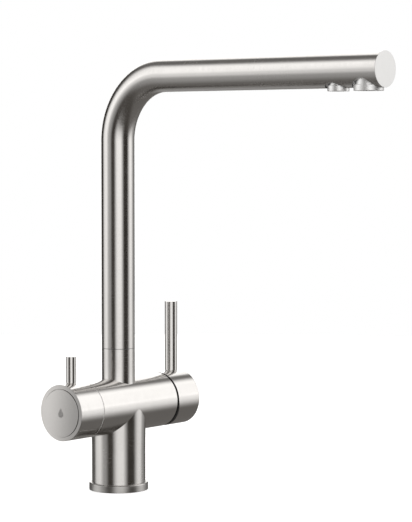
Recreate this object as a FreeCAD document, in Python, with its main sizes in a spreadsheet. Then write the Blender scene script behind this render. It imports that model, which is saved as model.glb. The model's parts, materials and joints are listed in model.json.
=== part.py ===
import FreeCAD, Part
import os
import math
import Sketcher

# Three-way kitchen mixer tap, millimetres.
# Frame: Z is the column axis, Z = 0 is the underside on the sink deck,
# the valve cylinder lies along X (filter handle at -X, mixer handle at +X),
# the spout points along -Y.

os.makedirs("parts", exist_ok=True)
doc = FreeCAD.newDocument("mixer_tap")
sheet = doc.addObject("Spreadsheet::Sheet", "Sizes")
TURN_TO_X = FreeCAD.Rotation(FreeCAD.Vector(0, 1, 0), 90)
TURN_TO_Y = FreeCAD.Rotation(FreeCAD.Vector(1, 0, 0), -90)
TURN_BEND = FreeCAD.Rotation(FreeCAD.Vector(1, 1, 1), 120)
TURN_BACK = FreeCAD.Rotation(FreeCAD.Vector(0, 0, 1), 180)
NO_TURN = FreeCAD.Rotation()


class Dim:
    """A size with its formula: the formula drives the model, the value starts a sketch."""

    def __init__(self, text, value):
        self.text = text
        self.value = value

    def __add__(self, other):
        other = as_dim(other)
        return Dim("(%s + %s)" % (self.text, other.text), self.value + other.value)

    def __sub__(self, other):
        other = as_dim(other)
        return Dim("(%s - %s)" % (self.text, other.text), self.value - other.value)

    def __mul__(self, other):
        other = as_dim(other)
        return Dim("(%s * %s)" % (self.text, other.text), self.value * other.value)

    def __truediv__(self, other):
        other = as_dim(other)
        return Dim("(%s / %s)" % (self.text, other.text), self.value / other.value)

    def __neg__(self):
        return Dim("(0 - %s)" % self.text, -self.value)


def as_dim(value):
    if isinstance(value, Dim):
        return value
    return Dim(repr(float(value)), float(value))


cell_row = 0


def size(alias, value):
    """Put one driving dimension in the sheet and return it as a Dim."""
    global cell_row
    cell_row = cell_row + 1
    cell = "A%d" % cell_row
    sheet.set(cell, str(value))
    sheet.setAlias(cell, alias)
    return Dim("Sizes." + alias, float(value))


# deck and base
ring_r = size("ring_radius", 25.0)
ring_height = size("ring_height", 6.2)
ring_edge = size("ring_edge", 0.4)
ledge_thick = size("ledge_thickness", 2.6)
tap_hole_r = size("tap_hole_radius", 17.5)
gasket_in_r = size("gasket_inner_radius", 20.0)
gasket_width = size("gasket_width", 3.0)
gasket_thick = size("gasket_thickness", 1.6)
snug = size("snug_clearance", 0.05)
loose = size("loose_clearance", 0.3)
slide_gap = size("sliding_gap", 0.05)
running = size("running_clearance", 0.05)

# barrel and valve cylinder
barrel_r = size("barrel_radius", 22.4)
barrel_wall = size("barrel_wall", 2.2)
cross_r = size("cross_radius", 23.3)
cross_z = size("cross_height", 71.6)
body_left = size("body_left_length", 42.7)
body_right = size("body_right_length", 51.0)
web_half = size("web_half_length", 16.0)
housing_wall = size("housing_wall", 5.3)
filter_bore_r = size("filter_bore_radius", 12.0)

# hose ports and passages
manifold_z = size("manifold_height", 24.0)
port_r = size("hose_port_radius", 5.0)
port_depth = size("hose_port_depth", 12.0)
port_circle = size("hose_port_circle", 11.0)
stud_r = size("stud_hole_radius", 4.0)
stud_depth = size("stud_hole_depth", 14.0)
feed_r = size("feed_radius", 3.0)
outlet_feed_r = size("outlet_feed_radius", 2.5)
outlet_land = size("outlet_port_land", 4.2)
feed_land = size("feed_port_land", 5.674)
filter_lift = size("filter_port_lift", 5.0)

# column, swivel and spout
tube_r = size("tube_radius", 14.0)
tube_wall = size("tube_wall", 1.2)
seam_z = size("seam_height", 119.7)
washer_thick = size("washer_thickness", 0.7)
washer_inset = size("washer_inset", 0.5)
neck_bore_r = size("neck_bore_radius", 7.5)
spigot_r = size("spigot_radius", 10.5)
spigot_length = size("spigot_length", 30.0)
seal_section = size("swivel_seal_section", 0.72)
seal_start = size("swivel_seal_start", 4.5)
seal_pitch = size("swivel_seal_pitch", 5.0)
seal_width = size("swivel_seal_groove", 2.4)
stop_lift = size("stop_screw_lift", 20.5)
stop_screw_r = size("stop_screw_radius", 2.0)
stop_depth = size("stop_slot_depth", 1.3)
swivel_limit = size("swivel_limit", 70.0)
stop_margin = size("stop_slot_margin", 14.0)
spout_z = size("spout_height", 349.2)
bend_r = size("bend_radius", 54.0)
reach = size("spout_reach", 272.7)
cap_thick = size("spout_cap_thickness", 2.0)
cap_spigot = size("spout_cap_spigot", 1.0)
riser_r = size("riser_radius", 4.0)
riser_wall = size("riser_wall", 1.0)
riser_start = size("riser_start_lift", 8.0)
riser_socket = size("riser_socket_length", 6.0)

# outlets under the spout end
main_setback = size("main_outlet_setback", 15.3)
main_ring_r = size("main_ring_radius", 11.3)
main_neck_r = size("main_neck_radius", 10.6)
main_thread_r = size("main_thread_radius", 9.0)
main_bore_r = size("main_outlet_bore", 7.8)
main_recess = size("main_recess_gap", 0.9)
main_recess_z = size("main_recess_drop", 9.0)
outlet_pitch = size("outlet_pitch", 28.4)
filter_ring_r = size("filter_ring_radius", 8.1)
filter_neck_r = size("filter_neck_radius", 7.5)
filter_thread_r = size("filter_thread_radius", 6.1)
filter_spray_r = size("filter_outlet_bore", 5.0)
filter_recess = size("filter_recess_gap", 0.9)
filter_recess_z = size("filter_recess_drop", 10.0)
outlet_drop = size("outlet_drop", 16.2)
outlet_ring = size("outlet_ring_height", 4.4)
outlet_edge = size("outlet_ring_edge", 0.4)
outlet_lip = size("outlet_lip", 1.0)
outlet_seal = size("outlet_seal_thickness", 0.8)
carrier_drop = size("carrier_top_drop", 4.5)
carrier_back = size("carrier_back_length", 15.0)
spray_hole_r = size("spray_hole_radius", 1.1)

# mixer cartridge, distances along X from the column axis
seal_plate = size("cartridge_seal_thickness", 1.0)
shell_play = size("cartridge_play", 0.3)
shell_wall = size("cartridge_wall", 2.5)
shell_floor = size("cartridge_floor", 3.0)
fixed_thick = size("mixer_fixed_disc_thickness", 4.0)
disc_film = size("disc_film", 0.02)
disc_play = size("mixer_disc_side_play", 4.7)
disc_thick = size("mixer_disc_thickness", 3.98)
disc_rest = size("mixer_disc_rest_drop", 1.65)
disc_pocket = size("mixer_disc_pocket_depth", 1.5)
carrier_thick = size("disc_carrier_thickness", 5.0)
flange_thick = size("rotor_flange_thickness", 3.7)
rotor_play = size("rotor_nut_play", 1.5)
rotor_end = size("rotor_end", 57.0)
cover_thick = size("cartridge_cover_thickness", 4.7)
nut_wall = size("retaining_nut_wall", 7.0)
nut_set = size("retaining_nut_set_back", 1.0)
trim_thick = size("trim_ring_thickness", 0.5)
trim_inset = size("trim_ring_inset", 0.2)

# mixer handle
mixer_gap = size("mixer_gap", 0.9)
relief_angle = size("mixer_relief_angle", 8.1)
mixer_end = size("mixer_end", 79.1)
hub_start = size("mixer_hub_start", 60.0)
hub_end = size("mixer_hub_end", 75.6)
sleeve_wall = size("sleeve_wall", 3.3)
face_proud = size("end_face_proud", 0.5)
face_edge = size("end_face_edge", 0.3)
rim_edge = size("sleeve_rim_edge", 0.25)
stem_play = size("stem_side_play", 0.3)
stem_neck_r = size("stem_neck_radius", 1.8)
stem_ball_r = size("stem_ball_radius", 2.2)
stem_ball_x = size("stem_ball_position", 31.0)
stem_neck_x = size("stem_neck_end", 38.0)
stem_boss_r = size("stem_boss_radius", 8.0)
stem_boss_end = size("stem_boss_end", 72.0)
pivot_r = size("pivot_radius", 1.5)
pivot_set = size("pivot_set_back", 1.1)
mixer_pin_x = size("mixer_pin_position", 68.3)
mixer_pin_r = size("mixer_pin_radius", 5.4)
mixer_pin_top = size("mixer_pin_top", 155.1)
mixer_pin_foot = size("mixer_pin_foot", 2.2)
mixer_pin_thread_r = size("mixer_pin_thread_radius", 3.2)
mixer_pin_depth = size("mixer_pin_depth", 4.0)
pin_edge = size("pin_edge", 0.35)
grub_r = size("grub_screw_radius", 2.5)
grub_length = size("grub_screw_length", 7.0)
key_r = size("key_socket_radius", 1.2)
key_depth = size("key_socket_depth", 2.0)

# filter valve and handle, distances along -X from the column axis
seat_thick = size("filter_seat_thickness", 1.5)
valve_clear = size("filter_valve_clearance", 0.05)
valve_floor = size("filter_valve_floor", 2.5)
valve_bore_r = size("filter_valve_bore", 8.1)
filter_disc_r = size("filter_disc_radius", 7.7)
filter_fixed_thick = size("filter_fixed_disc_thickness", 3.0)
filter_disc_thick = size("filter_disc_thickness", 2.98)
channel_half = size("filter_channel_half_width", 2.2)
channel_deep = size("filter_channel_depth", 1.5)
spindle_flange = size("spindle_flange_thickness", 3.0)
spindle_r = size("spindle_radius", 5.0)
spindle_end = size("spindle_end", 62.0)
spindle_seal_x = size("spindle_seal_position", 35.0)
spindle_seal = size("spindle_seal_section", 0.6)
spindle_seal_width = size("spindle_seal_groove", 2.0)
slide_thick = size("slide_ring_thickness", 0.6)
slide_inset = size("slide_ring_inset", 0.3)
slide_bore_r = size("slide_ring_bore", 12.5)
filter_end = size("filter_end", 70.1)
filter_hub_start = size("filter_hub_start", 50.0)
filter_hub_end = size("filter_hub_end", 66.5)
filter_pin_x = size("filter_pin_position", 58.0)
filter_pin_r = size("filter_pin_radius", 4.2)
filter_pin_top = size("filter_pin_top", 116.3)
filter_pin_foot = size("filter_pin_foot", 1.9)
filter_pin_thread_r = size("filter_pin_thread_radius", 2.4)
filter_pin_depth = size("filter_pin_depth", 8.0)
drop_r = size("drop_radius", 2.7)
drop_point = size("drop_point", 3.9)
drop_sink = size("drop_centre_sink", 1.1)
drop_thick = size("drop_thickness", 0.12)
doc.recompute()

ZERO = as_dim(0.0)
nodes = []

# sizes that follow from others
mixer_bore_r = cross_r - housing_wall
sleeve_bore_r = cross_r - sleeve_wall
shell_r = mixer_bore_r - shell_play
shell_in_r = shell_r - shell_wall
disc_r = shell_in_r - disc_play
disc_pocket_r = disc_r * (4.0 / 7.0)
nut_bore_r = mixer_bore_r - nut_wall
rotor_r = nut_bore_r - rotor_play
slot_half_y = rotor_r * (4.3 / 9.5)
slot_half_z = rotor_r * (7.5 / 9.5)
stem_r = slot_half_y - stem_play
pivot_half = rotor_r - pivot_set
feed_y = shell_in_r - feed_land
outlet_lift = shell_in_r - outlet_land
main_y = reach - main_setback
filter_y = main_y - outlet_pitch


def bind(thing, path, dim):
    thing.setExpression(path, as_dim(dim).text)


def place(thing, turn, x, y, z):
    thing.Placement = FreeCAD.Placement(FreeCAD.Vector(0, 0, 0), turn)
    bind(thing, "Placement.Base.x", x)
    bind(thing, "Placement.Base.y", y)
    bind(thing, "Placement.Base.z", z)


def cylinder(label, radius, length, turn, x, y, z):
    thing = doc.addObject("Part::Cylinder", label)
    thing.Label = label
    bind(thing, "Radius", radius)
    bind(thing, "Height", length)
    place(thing, turn, x, y, z)
    return thing


def rod_z(label, radius, x, y, low, high):
    return cylinder(label, radius, as_dim(high) - low, NO_TURN, x, y, low)


def rod_x(label, radius, y, z, low, high):
    return cylinder(label, radius, as_dim(high) - low, TURN_TO_X, low, y, z)


def rod_y(label, radius, x, z, low, high):
    return cylinder(label, radius, as_dim(high) - low, TURN_TO_Y, x, low, z)


def block(label, x, y, z, x_size, y_size, z_size):
    """A box with its low corner at x, y, z."""
    thing = doc.addObject("Part::Box", label)
    thing.Label = label
    bind(thing, "Length", x_size)
    bind(thing, "Width", y_size)
    bind(thing, "Height", z_size)
    place(thing, NO_TURN, x, y, z)
    return thing


def torus(label, big, small, turn, x, y, z):
    thing = doc.addObject("Part::Torus", label)
    thing.Label = label
    bind(thing, "Radius1", big)
    bind(thing, "Radius2", small)
    place(thing, turn, x, y, z)
    return thing


def fuse(label, shapes):
    thing = doc.addObject("Part::MultiFuse", label)
    thing.Label = label
    thing.Shapes = shapes
    return thing


def cut(label, base, tools):
    """Take the tools away from the base."""
    tool = tools[0]
    if len(tools) > 1:
        tool = fuse(label + "_tools", tools)
    thing = doc.addObject("Part::Cut", label)
    thing.Label = label
    thing.Base = base
    thing.Tool = tool
    return thing


def common(label, one, other):
    thing = doc.addObject("Part::MultiCommon", label)
    thing.Label = label
    thing.Shapes = [one, other]
    return thing


def origin_plane(body, role):
    for feature in body.Origin.OriginFeatures:
        if feature.Role == role:
            return feature
    raise RuntimeError("no plane " + role)


def hold(sketch, kind, index, dim):
    """Hold the start of a line at a signed distance from the sketch origin."""
    dim = as_dim(dim)
    if abs(dim.value) < 1e-9:
        axis = -2
        if kind == "DistanceY":
            axis = -1
        sketch.addConstraint(Sketcher.Constraint("PointOnObject", index, 1, axis))
        return
    number = sketch.addConstraint(Sketcher.Constraint(kind, -1, 1, index, 1, dim.value))
    sketch.setExpression("Constraints[%d]" % number, dim.text)


def turned(label, plane, axis, points):
    """A body of revolution from a closed profile of (first, second) sketch points."""
    body = doc.addObject("PartDesign::Body", label)
    body.Label = label
    sketch = body.newObject("Sketcher::SketchObject", label + "_profile")
    sketch.AttachmentSupport = (origin_plane(body, plane), [""])
    sketch.MapMode = "FlatFace"
    spots = []
    for first, second in points:
        spots.append(FreeCAD.Vector(as_dim(first).value, as_dim(second).value, 0))
    count = len(spots)
    for index in range(count):
        after = (index + 1) % count
        sketch.addGeometry(Part.LineSegment(spots[index], spots[after]), False)
    for index in range(count):
        after = (index + 1) % count
        sketch.addConstraint(Sketcher.Constraint("Coincident", index, 2, after, 1))
    for index in range(count):
        hold(sketch, "DistanceX", index, points[index][0])
        hold(sketch, "DistanceY", index, points[index][1])
    spin = body.newObject("PartDesign::Revolution", label + "_turn")
    spin.Profile = sketch
    spin.ReferenceAxis = (sketch, [axis])
    spin.Angle = 360.0
    return body


def turned_z(label, x, y, z, points):
    """Turned about an upright axis at x, y; points are (radius, height above z)."""
    body = turned(label, "XZ_Plane", "V_Axis", points)
    place(body, NO_TURN, x, y, z)
    return body


def turned_x(label, points):
    """Turned about the valve axis towards +X; points are (distance, radius)."""
    body = turned(label, "XY_Plane", "H_Axis", points)
    place(body, NO_TURN, ZERO, ZERO, cross_z)
    return body


def turned_back(label, points):
    """Turned about the valve axis towards -X; points are (distance, radius)."""
    body = turned(label, "XY_Plane", "H_Axis", points)
    place(body, TURN_BACK, ZERO, ZERO, cross_z)
    return body


def node(thing):
    nodes.append(thing)
    return thing


def cross_tool(label):
    """The outside of the valve cylinder, for saddle cuts."""
    return rod_x(label, cross_r, ZERO, cross_z, -body_left, body_right)


# base ring, gasket, barrel
gasket_out_r = gasket_in_r + gasket_width
node(turned_z("base_ring", ZERO, ZERO, ZERO, [
    (tap_hole_r, ZERO),
    (gasket_in_r, ZERO),
    (gasket_in_r, gasket_thick),
    (gasket_out_r, gasket_thick),
    (gasket_out_r, ZERO),
    (ring_r, ZERO),
    (ring_r, ring_height - ring_edge),
    (ring_r - ring_edge, ring_height),
    (barrel_r + snug, ring_height),
    (barrel_r + snug, ledge_thick),
    (tap_hole_r, ledge_thick)]))
gasket_outer = rod_z("base_gasket_disc", gasket_out_r - snug, ZERO, ZERO, ZERO, gasket_thick)
gasket_inner = rod_z("base_gasket_hole", gasket_in_r + snug, ZERO, ZERO, ZERO, gasket_thick)
node(cut("base_gasket", gasket_outer, [gasket_inner]))
barrel_in_r = barrel_r - barrel_wall
barrel_outer = rod_z("body_barrel_rod", barrel_r, ZERO, ZERO, ledge_thick, cross_z)
barrel_inner = rod_z("body_barrel_bore", barrel_in_r, ZERO, ZERO, ledge_thick, cross_z)
node(cut("body_barrel", barrel_outer, [barrel_inner, cross_tool("body_barrel_saddle")]))

# water manifold in the barrel: three hose ports and the stud hole on its underside
side_x = port_circle * 0.5
side_y = port_circle * (math.sqrt(3.0) / 2.0)
manifold_rod = rod_z("manifold_rod", barrel_in_r - slide_gap * 2, ZERO, ZERO, manifold_z, cross_z)
port_top = manifold_z + port_depth
manifold_tools = [
    cross_tool("manifold_saddle"),
    rod_z("manifold_stud", stud_r, ZERO, ZERO, manifold_z, manifold_z + stud_depth),
    rod_z("manifold_hot_port", port_r, side_x, side_y, manifold_z, port_top),
    rod_z("manifold_cold_port", port_r, side_x, -side_y, manifold_z, port_top),
    rod_z("manifold_filter_port", port_r, -port_circle, ZERO, manifold_z, port_top),
    rod_z("manifold_hot_way", feed_r, side_x, side_y, manifold_z, cross_z),
    rod_z("manifold_cold_way", feed_r, side_x, -side_y, manifold_z, cross_z),
    rod_z("manifold_filter_way", feed_r, -port_circle, ZERO, manifold_z, cross_z)]
node(cut("water_manifold", manifold_rod, manifold_tools))

# valve cylinder with its two chambers and the water ways between them
low_z = cross_z - cross_r - 1.0
outlet_z = cross_z + outlet_lift
riser_low = cross_z + riser_start
neck_low = riser_low + riser_socket
outlet_up_x = riser_r + running + outlet_feed_r + 1.0
housing_tools = [
    rod_x("housing_mixer_bore", mixer_bore_r, ZERO, cross_z, web_half, body_right),
    rod_x("housing_filter_bore", filter_bore_r, ZERO, cross_z, -body_left, -web_half),
    rod_z("housing_hot_up", feed_r, side_x, side_y, low_z, cross_z),
    rod_z("housing_cold_up", feed_r, side_x, -side_y, low_z, cross_z),
    rod_x("housing_hot_in", feed_r, side_y, cross_z, side_x, web_half),
    rod_x("housing_cold_in", feed_r, -side_y, cross_z, side_x, web_half),
    rod_x("housing_out", outlet_feed_r, ZERO, outlet_z, outlet_up_x, web_half),
    rod_z("housing_out_up", outlet_feed_r, outlet_up_x, ZERO, outlet_z, neck_low + 2.0),
    rod_z("housing_filter_up", feed_r, -port_circle, ZERO, low_z, cross_z - filter_lift),
    rod_x("housing_filter_in", outlet_feed_r, ZERO, cross_z - filter_lift, -web_half, -port_circle),
    rod_x("housing_filter_out", outlet_feed_r, ZERO, cross_z + filter_lift, -web_half, ZERO),
    rod_z("housing_riser_socket", riser_r + running, ZERO, ZERO, cross_z + filter_lift, neck_low),
    rod_z("housing_neck_bore", neck_bore_r, ZERO, ZERO, neck_low, cross_z + cross_r + 1.0)]
node(cut("cross_housing", cross_tool("cross_housing_rod"), housing_tools))

# neck with the swivel spigot, its seals and the stop slot
groove_r = spigot_r - seal_section * 2.0 + 0.05
first_groove = seam_z + seal_start
second_groove = first_groove + seal_pitch
spigot_top = seam_z + spigot_length
neck_blank = turned_z("spout_neck_blank", ZERO, ZERO, ZERO, [
    (neck_bore_r, neck_low),
    (tube_r, neck_low),
    (tube_r, seam_z),
    (spigot_r, seam_z),
    (spigot_r, first_groove),
    (groove_r, first_groove),
    (groove_r, first_groove + seal_width),
    (spigot_r, first_groove + seal_width),
    (spigot_r, second_groove),
    (groove_r, second_groove),
    (groove_r, second_groove + seal_width),
    (spigot_r, second_groove + seal_width),
    (spigot_r, spigot_top),
    (neck_bore_r, spigot_top)])
stop_z = seam_z + stop_lift
slot_low = stop_z - stop_screw_r - loose
slot_high = stop_z + stop_screw_r + loose
slot_outer = rod_z("stop_slot_sector", spigot_r + 1.0, ZERO, ZERO, slot_low, slot_high)
slot_half = swivel_limit + stop_margin
bind(slot_outer, "Angle", slot_half * 2.0)
slot_outer.Placement = FreeCAD.Placement(FreeCAD.Vector(0, 0, 0), FreeCAD.Rotation(6.0, 0, 0))
bind(slot_outer, "Placement.Rotation.Angle", as_dim(90.0) - slot_half)
bind(slot_outer, "Placement.Base.z", slot_low)
slot_inner = rod_z("stop_slot_core", spigot_r - stop_depth, ZERO, ZERO, slot_low, slot_high)
stop_slot = cut("stop_slot", slot_outer, [slot_inner])
node(cut("spout_neck", neck_blank, [cross_tool("spout_neck_saddle"), stop_slot]))
washer_disc = rod_z("washer_disc", tube_r - washer_inset, ZERO, ZERO, seam_z, seam_z + washer_thick)
washer_hole = rod_z("washer_hole", spigot_r + loose, ZERO, ZERO, seam_z, seam_z + washer_thick)
node(cut("swivel_washer", washer_disc, [washer_hole]))
seal_big = groove_r + seal_section
first_seal_z = first_groove + seal_width / 2.0
second_seal_z = second_groove + seal_width / 2.0
first_seal = torus("swivel_seal_low", seal_big, seal_section, NO_TURN, ZERO, ZERO, first_seal_z)
second_seal = torus("swivel_seal_high", seal_big, seal_section, NO_TURN, ZERO, ZERO, second_seal_z)
node(fuse("swivel_o_rings", [first_seal, second_seal]))

# spout tube, end cap, swivel sleeve and stop screw
tube_in_r = tube_r - tube_wall
tube_low = seam_z + washer_thick + slide_gap
bend_z = spout_z - bend_r
tube_end = reach - cap_thick


def bent_rod(label, radius, low, end):
    """A round bar up the column, round the bend and out along the spout."""
    up = rod_z(label + "_up", radius, ZERO, ZERO, low, bend_z)
    bend = torus(label + "_bend", bend_r, radius, TURN_BEND, ZERO, -bend_r, bend_z)
    bend.Angle3 = 90.0
    along = rod_y(label + "_along", radius, ZERO, spout_z, -end, -bend_r)
    return fuse(label, [up, bend, along])


stop_in_y = spigot_r - stop_depth + 0.4
stop_out_y = tube_r - 0.4
tube_tools = [
    bent_rod("spout_tube_bore", tube_in_r, tube_low, tube_end),
    rod_z("tube_main_hole", main_ring_r + main_recess, ZERO, -main_y, spout_z - tube_r - 1.0, spout_z),
    rod_z("tube_filter_hole", filter_ring_r + filter_recess, ZERO, -filter_y,
          spout_z - tube_r - 1.0, spout_z),
    rod_y("tube_stop_hole", stop_screw_r, ZERO, stop_z, spigot_r, tube_r + 1.0)]
node(cut("spout_tube", bent_rod("spout_tube_rod", tube_r, tube_low, tube_end), tube_tools))
cap_disc = rod_y("spout_cap_disc", tube_r, ZERO, spout_z, -reach, -tube_end)
cap_plug = rod_y("spout_cap_plug", tube_in_r, ZERO, spout_z, -tube_end, cap_spigot - tube_end)
node(fuse("spout_end_cap", [cap_disc, cap_plug]))
sleeve_top = spigot_top - 2.0
sleeve_rod = rod_z("swivel_sleeve_rod", tube_in_r, ZERO, ZERO, tube_low, sleeve_top)
sleeve_bore = rod_z("swivel_sleeve_bore", spigot_r + running, ZERO, ZERO, tube_low, sleeve_top)
sleeve_hole = rod_y("swivel_sleeve_hole", stop_screw_r, ZERO, stop_z, spigot_r - 1.0, tube_r)
node(cut("spout_swivel_sleeve", sleeve_rod, [sleeve_bore, sleeve_hole]))
stop_rod = rod_y("stop_screw_rod", stop_screw_r, ZERO, stop_z, stop_in_y, stop_out_y)
stop_key = rod_y("stop_screw_key", key_r, ZERO, stop_z, stop_out_y - key_depth, stop_out_y)
node(cut("spout_stop_screw", stop_rod, [stop_key]))

# filtered water riser inside the spout, down to the rear outlet
riser_in_r = riser_r - riser_wall
riser_drop = spout_z - carrier_drop
riser_out = fuse("riser_out", [
    bent_rod("riser_out_run", riser_r, riser_low, filter_y + riser_r),
    rod_z("riser_out_drop", riser_r, ZERO, -filter_y, riser_drop, spout_z)])
riser_in = fuse("riser_in", [
    bent_rod("riser_in_run", riser_in_r, riser_low, filter_y + riser_in_r),
    rod_z("riser_in_drop", riser_in_r, ZERO, -filter_y, riser_drop, spout_z)])
node(cut("filter_riser_tube", riser_out, [riser_in]))

# outlet carrier inside the spout end
carrier_top = spout_z - carrier_drop
carrier_front = tube_end - cap_spigot
carrier_rear = filter_y - carrier_back
carrier_rod = rod_y("carrier_rod", tube_in_r, ZERO, spout_z, -carrier_front, -carrier_rear)
carrier_span = carrier_front - carrier_rear
carrier_low = spout_z - tube_r
carrier_box = block("carrier_box", -tube_r, -carrier_front, carrier_low,
                    tube_r * 2.0, carrier_span, tube_r - carrier_drop)
carrier_blank = common("carrier_blank", carrier_rod, carrier_box)
main_hole_r = main_ring_r + main_recess
filter_hole_r = filter_ring_r + filter_recess
carrier_tools = [
    rod_z("carrier_main_recess", main_hole_r, ZERO, -main_y, carrier_low, spout_z - main_recess_z),
    rod_z("carrier_main_bore", main_neck_r, ZERO, -main_y, carrier_low, spout_z),
    rod_z("carrier_filter_recess", filter_hole_r, ZERO, -filter_y, carrier_low,
          spout_z - filter_recess_z),
    rod_z("carrier_filter_bore", filter_neck_r, ZERO, -filter_y, carrier_low, spout_z)]
node(cut("spout_outlet_carrier", carrier_blank, carrier_tools))

# the two outlets: socket, screwed ring, washer and spray insert
drop_z = spout_z - outlet_drop


def outlet(name, out_y, wide_r, neck_r, thread_r, bore_r):
    """Make the four nodes of one outlet."""
    socket_low = outlet_lip + outlet_seal
    socket_high = outlet_drop - carrier_drop
    node(turned_z(name + "_outlet_socket", ZERO, -out_y, drop_z, [
        (bore_r, socket_low),
        (thread_r, socket_low),
        (thread_r, outlet_ring),
        (neck_r, outlet_ring),
        (neck_r, socket_high),
        (bore_r, socket_high)]))
    lip_r = bore_r + 0.2
    node(turned_z(name + "_aerator_housing", ZERO, -out_y, drop_z, [
        (lip_r, ZERO),
        (wide_r - outlet_edge, ZERO),
        (wide_r, outlet_edge),
        (wide_r, outlet_ring - outlet_edge),
        (wide_r - outlet_edge, outlet_ring),
        (thread_r, outlet_ring),
        (thread_r, outlet_lip),
        (lip_r, outlet_lip)]))
    washer_high = drop_z + outlet_lip + outlet_seal
    ring = rod_z(name + "_washer_disc", thread_r - 0.05, ZERO, -out_y, drop_z + outlet_lip, washer_high)
    hole = rod_z(name + "_washer_hole", bore_r, ZERO, -out_y, drop_z + outlet_lip, washer_high)
    node(cut(name + "_aerator_washer", ring, [hole]))
    spray_low = drop_z + 0.3
    spray = rod_z(name + "_spray_disc", bore_r - 0.05, ZERO, -out_y, spray_low, spray_low + 6.0)
    holes = [rod_z(name + "_spray_hole", spray_hole_r, ZERO, -out_y, drop_z, spray_low + 7.0)]
    for step in range(6):
        turn = math.radians(60.0 * step)
        hole_x = (bore_r * 0.6) * math.cos(turn)
        hole_y = (bore_r * 0.6) * math.sin(turn) - out_y
        hole_label = name + "_spray_hole_" + str(step)
        holes.append(rod_z(hole_label, spray_hole_r, hole_x, hole_y, drop_z, spray_low + 7.0))
    node(cut(name + "_aerator_insert", spray, holes))


outlet("main", main_y, main_ring_r, main_neck_r, main_thread_r, main_bore_r)
outlet("filter", filter_y, filter_ring_r, filter_neck_r, filter_thread_r, filter_spray_r)

# mixer cartridge: seals, shell, fixed disc, cover, nut and trim ring
shell_start = web_half + seal_plate
shell_in = shell_start + shell_floor
fixed_end = shell_in + fixed_thick
disc_start = fixed_end + disc_film
disc_end = disc_start + disc_thick
carrier_end = disc_end + carrier_thick
flange_start = carrier_end + loose
flange_end = flange_start + flange_thick
cover_start = flange_end + loose
cover_end = cover_start + cover_thick


def port_holes(label, low, high):
    """The hot, cold and outlet ways through a plate of the cartridge."""
    return [
        rod_x(label + "_hot", feed_r, feed_y, cross_z, low, high),
        rod_x(label + "_cold", feed_r, -feed_y, cross_z, low, high),
        rod_x(label + "_out", outlet_feed_r, ZERO, outlet_z, low, high)]


seal_rod = rod_x("cartridge_seal_rod", shell_in_r, ZERO, cross_z, web_half, shell_start)
node(cut("mixer_cartridge_seals", seal_rod, port_holes("cartridge_seal", web_half, shell_start)))
shell_blank = turned_x("cartridge_shell_blank", [
    (shell_start, ZERO),
    (shell_start, shell_r),
    (cover_end, shell_r),
    (cover_end, shell_in_r),
    (shell_in, shell_in_r),
    (shell_in, ZERO)])
node(cut("mixer_cartridge_housing", shell_blank, port_holes("cartridge_shell", shell_start, shell_in)))
fixed_rod = rod_x("mixer_fixed_rod", shell_in_r - snug, ZERO, cross_z, shell_in, fixed_end)
node(cut("mixer_fixed_disc", fixed_rod, port_holes("mixer_fixed", shell_in, fixed_end)))
node(turned_x("mixer_cartridge_cover", [
    (cover_start, rotor_r + running),
    (cover_start, shell_in_r),
    (cover_end, shell_in_r),
    (cover_end, rotor_r + running)]))
nut_end = body_right - nut_set
node(turned_x("mixer_retaining_nut", [
    (cover_end, nut_bore_r),
    (cover_end, mixer_bore_r),
    (nut_end, mixer_bore_r),
    (nut_end, nut_bore_r)]))
node(turned_x("mixer_trim_ring", [
    (nut_end, nut_bore_r),
    (nut_end, mixer_bore_r),
    (body_right, mixer_bore_r),
    (body_right, cross_r - trim_inset),
    (body_right + trim_thick, cross_r - trim_inset),
    (body_right + trim_thick, nut_bore_r)]))

# mixer rotor with the tilt pivot
pivot_x = body_right + mixer_gap
rotor_blank = turned_x("mixer_rotor_blank", [
    (flange_start, ZERO),
    (flange_start, shell_in_r - loose),
    (flange_end, shell_in_r - loose),
    (flange_end, rotor_r),
    (rotor_end, rotor_r),
    (rotor_end, ZERO)])
rotor_slot = block("mixer_rotor_slot", flange_start - 1.0, -slot_half_y, cross_z - slot_half_z,
                   rotor_end - flange_start + 2.0, slot_half_y * 2.0, slot_half_z * 2.0)
rotor_hole = rod_y("mixer_rotor_hole", pivot_r, pivot_x, cross_z, -rotor_r, rotor_r)
node(cut("mixer_rotor", rotor_blank, [rotor_slot, rotor_hole]))
node(rod_y("mixer_pivot_pin", pivot_r, pivot_x, cross_z, -pivot_half, pivot_half))

# mixer sliding disc and its carrier, at rest a little low in the cartridge
disc_z = cross_z - disc_rest
moving_rod = rod_x("mixer_moving_rod", disc_r, ZERO, disc_z, disc_start, disc_end)
moving_pocket = rod_x("mixer_moving_pocket", disc_pocket_r, ZERO, disc_z, disc_start,
                      disc_start + disc_pocket)
node(cut("mixer_moving_disc", moving_rod, [moving_pocket]))
carrier_disc = rod_x("disc_carrier_rod", disc_r, ZERO, disc_z, disc_end, carrier_end)
carrier_pocket = rod_x("disc_carrier_pocket", stem_ball_r + loose * 2.0, ZERO, cross_z,
                       disc_end + 0.5, carrier_end)
node(cut("mixer_disc_carrier", carrier_disc, [carrier_pocket]))

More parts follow.
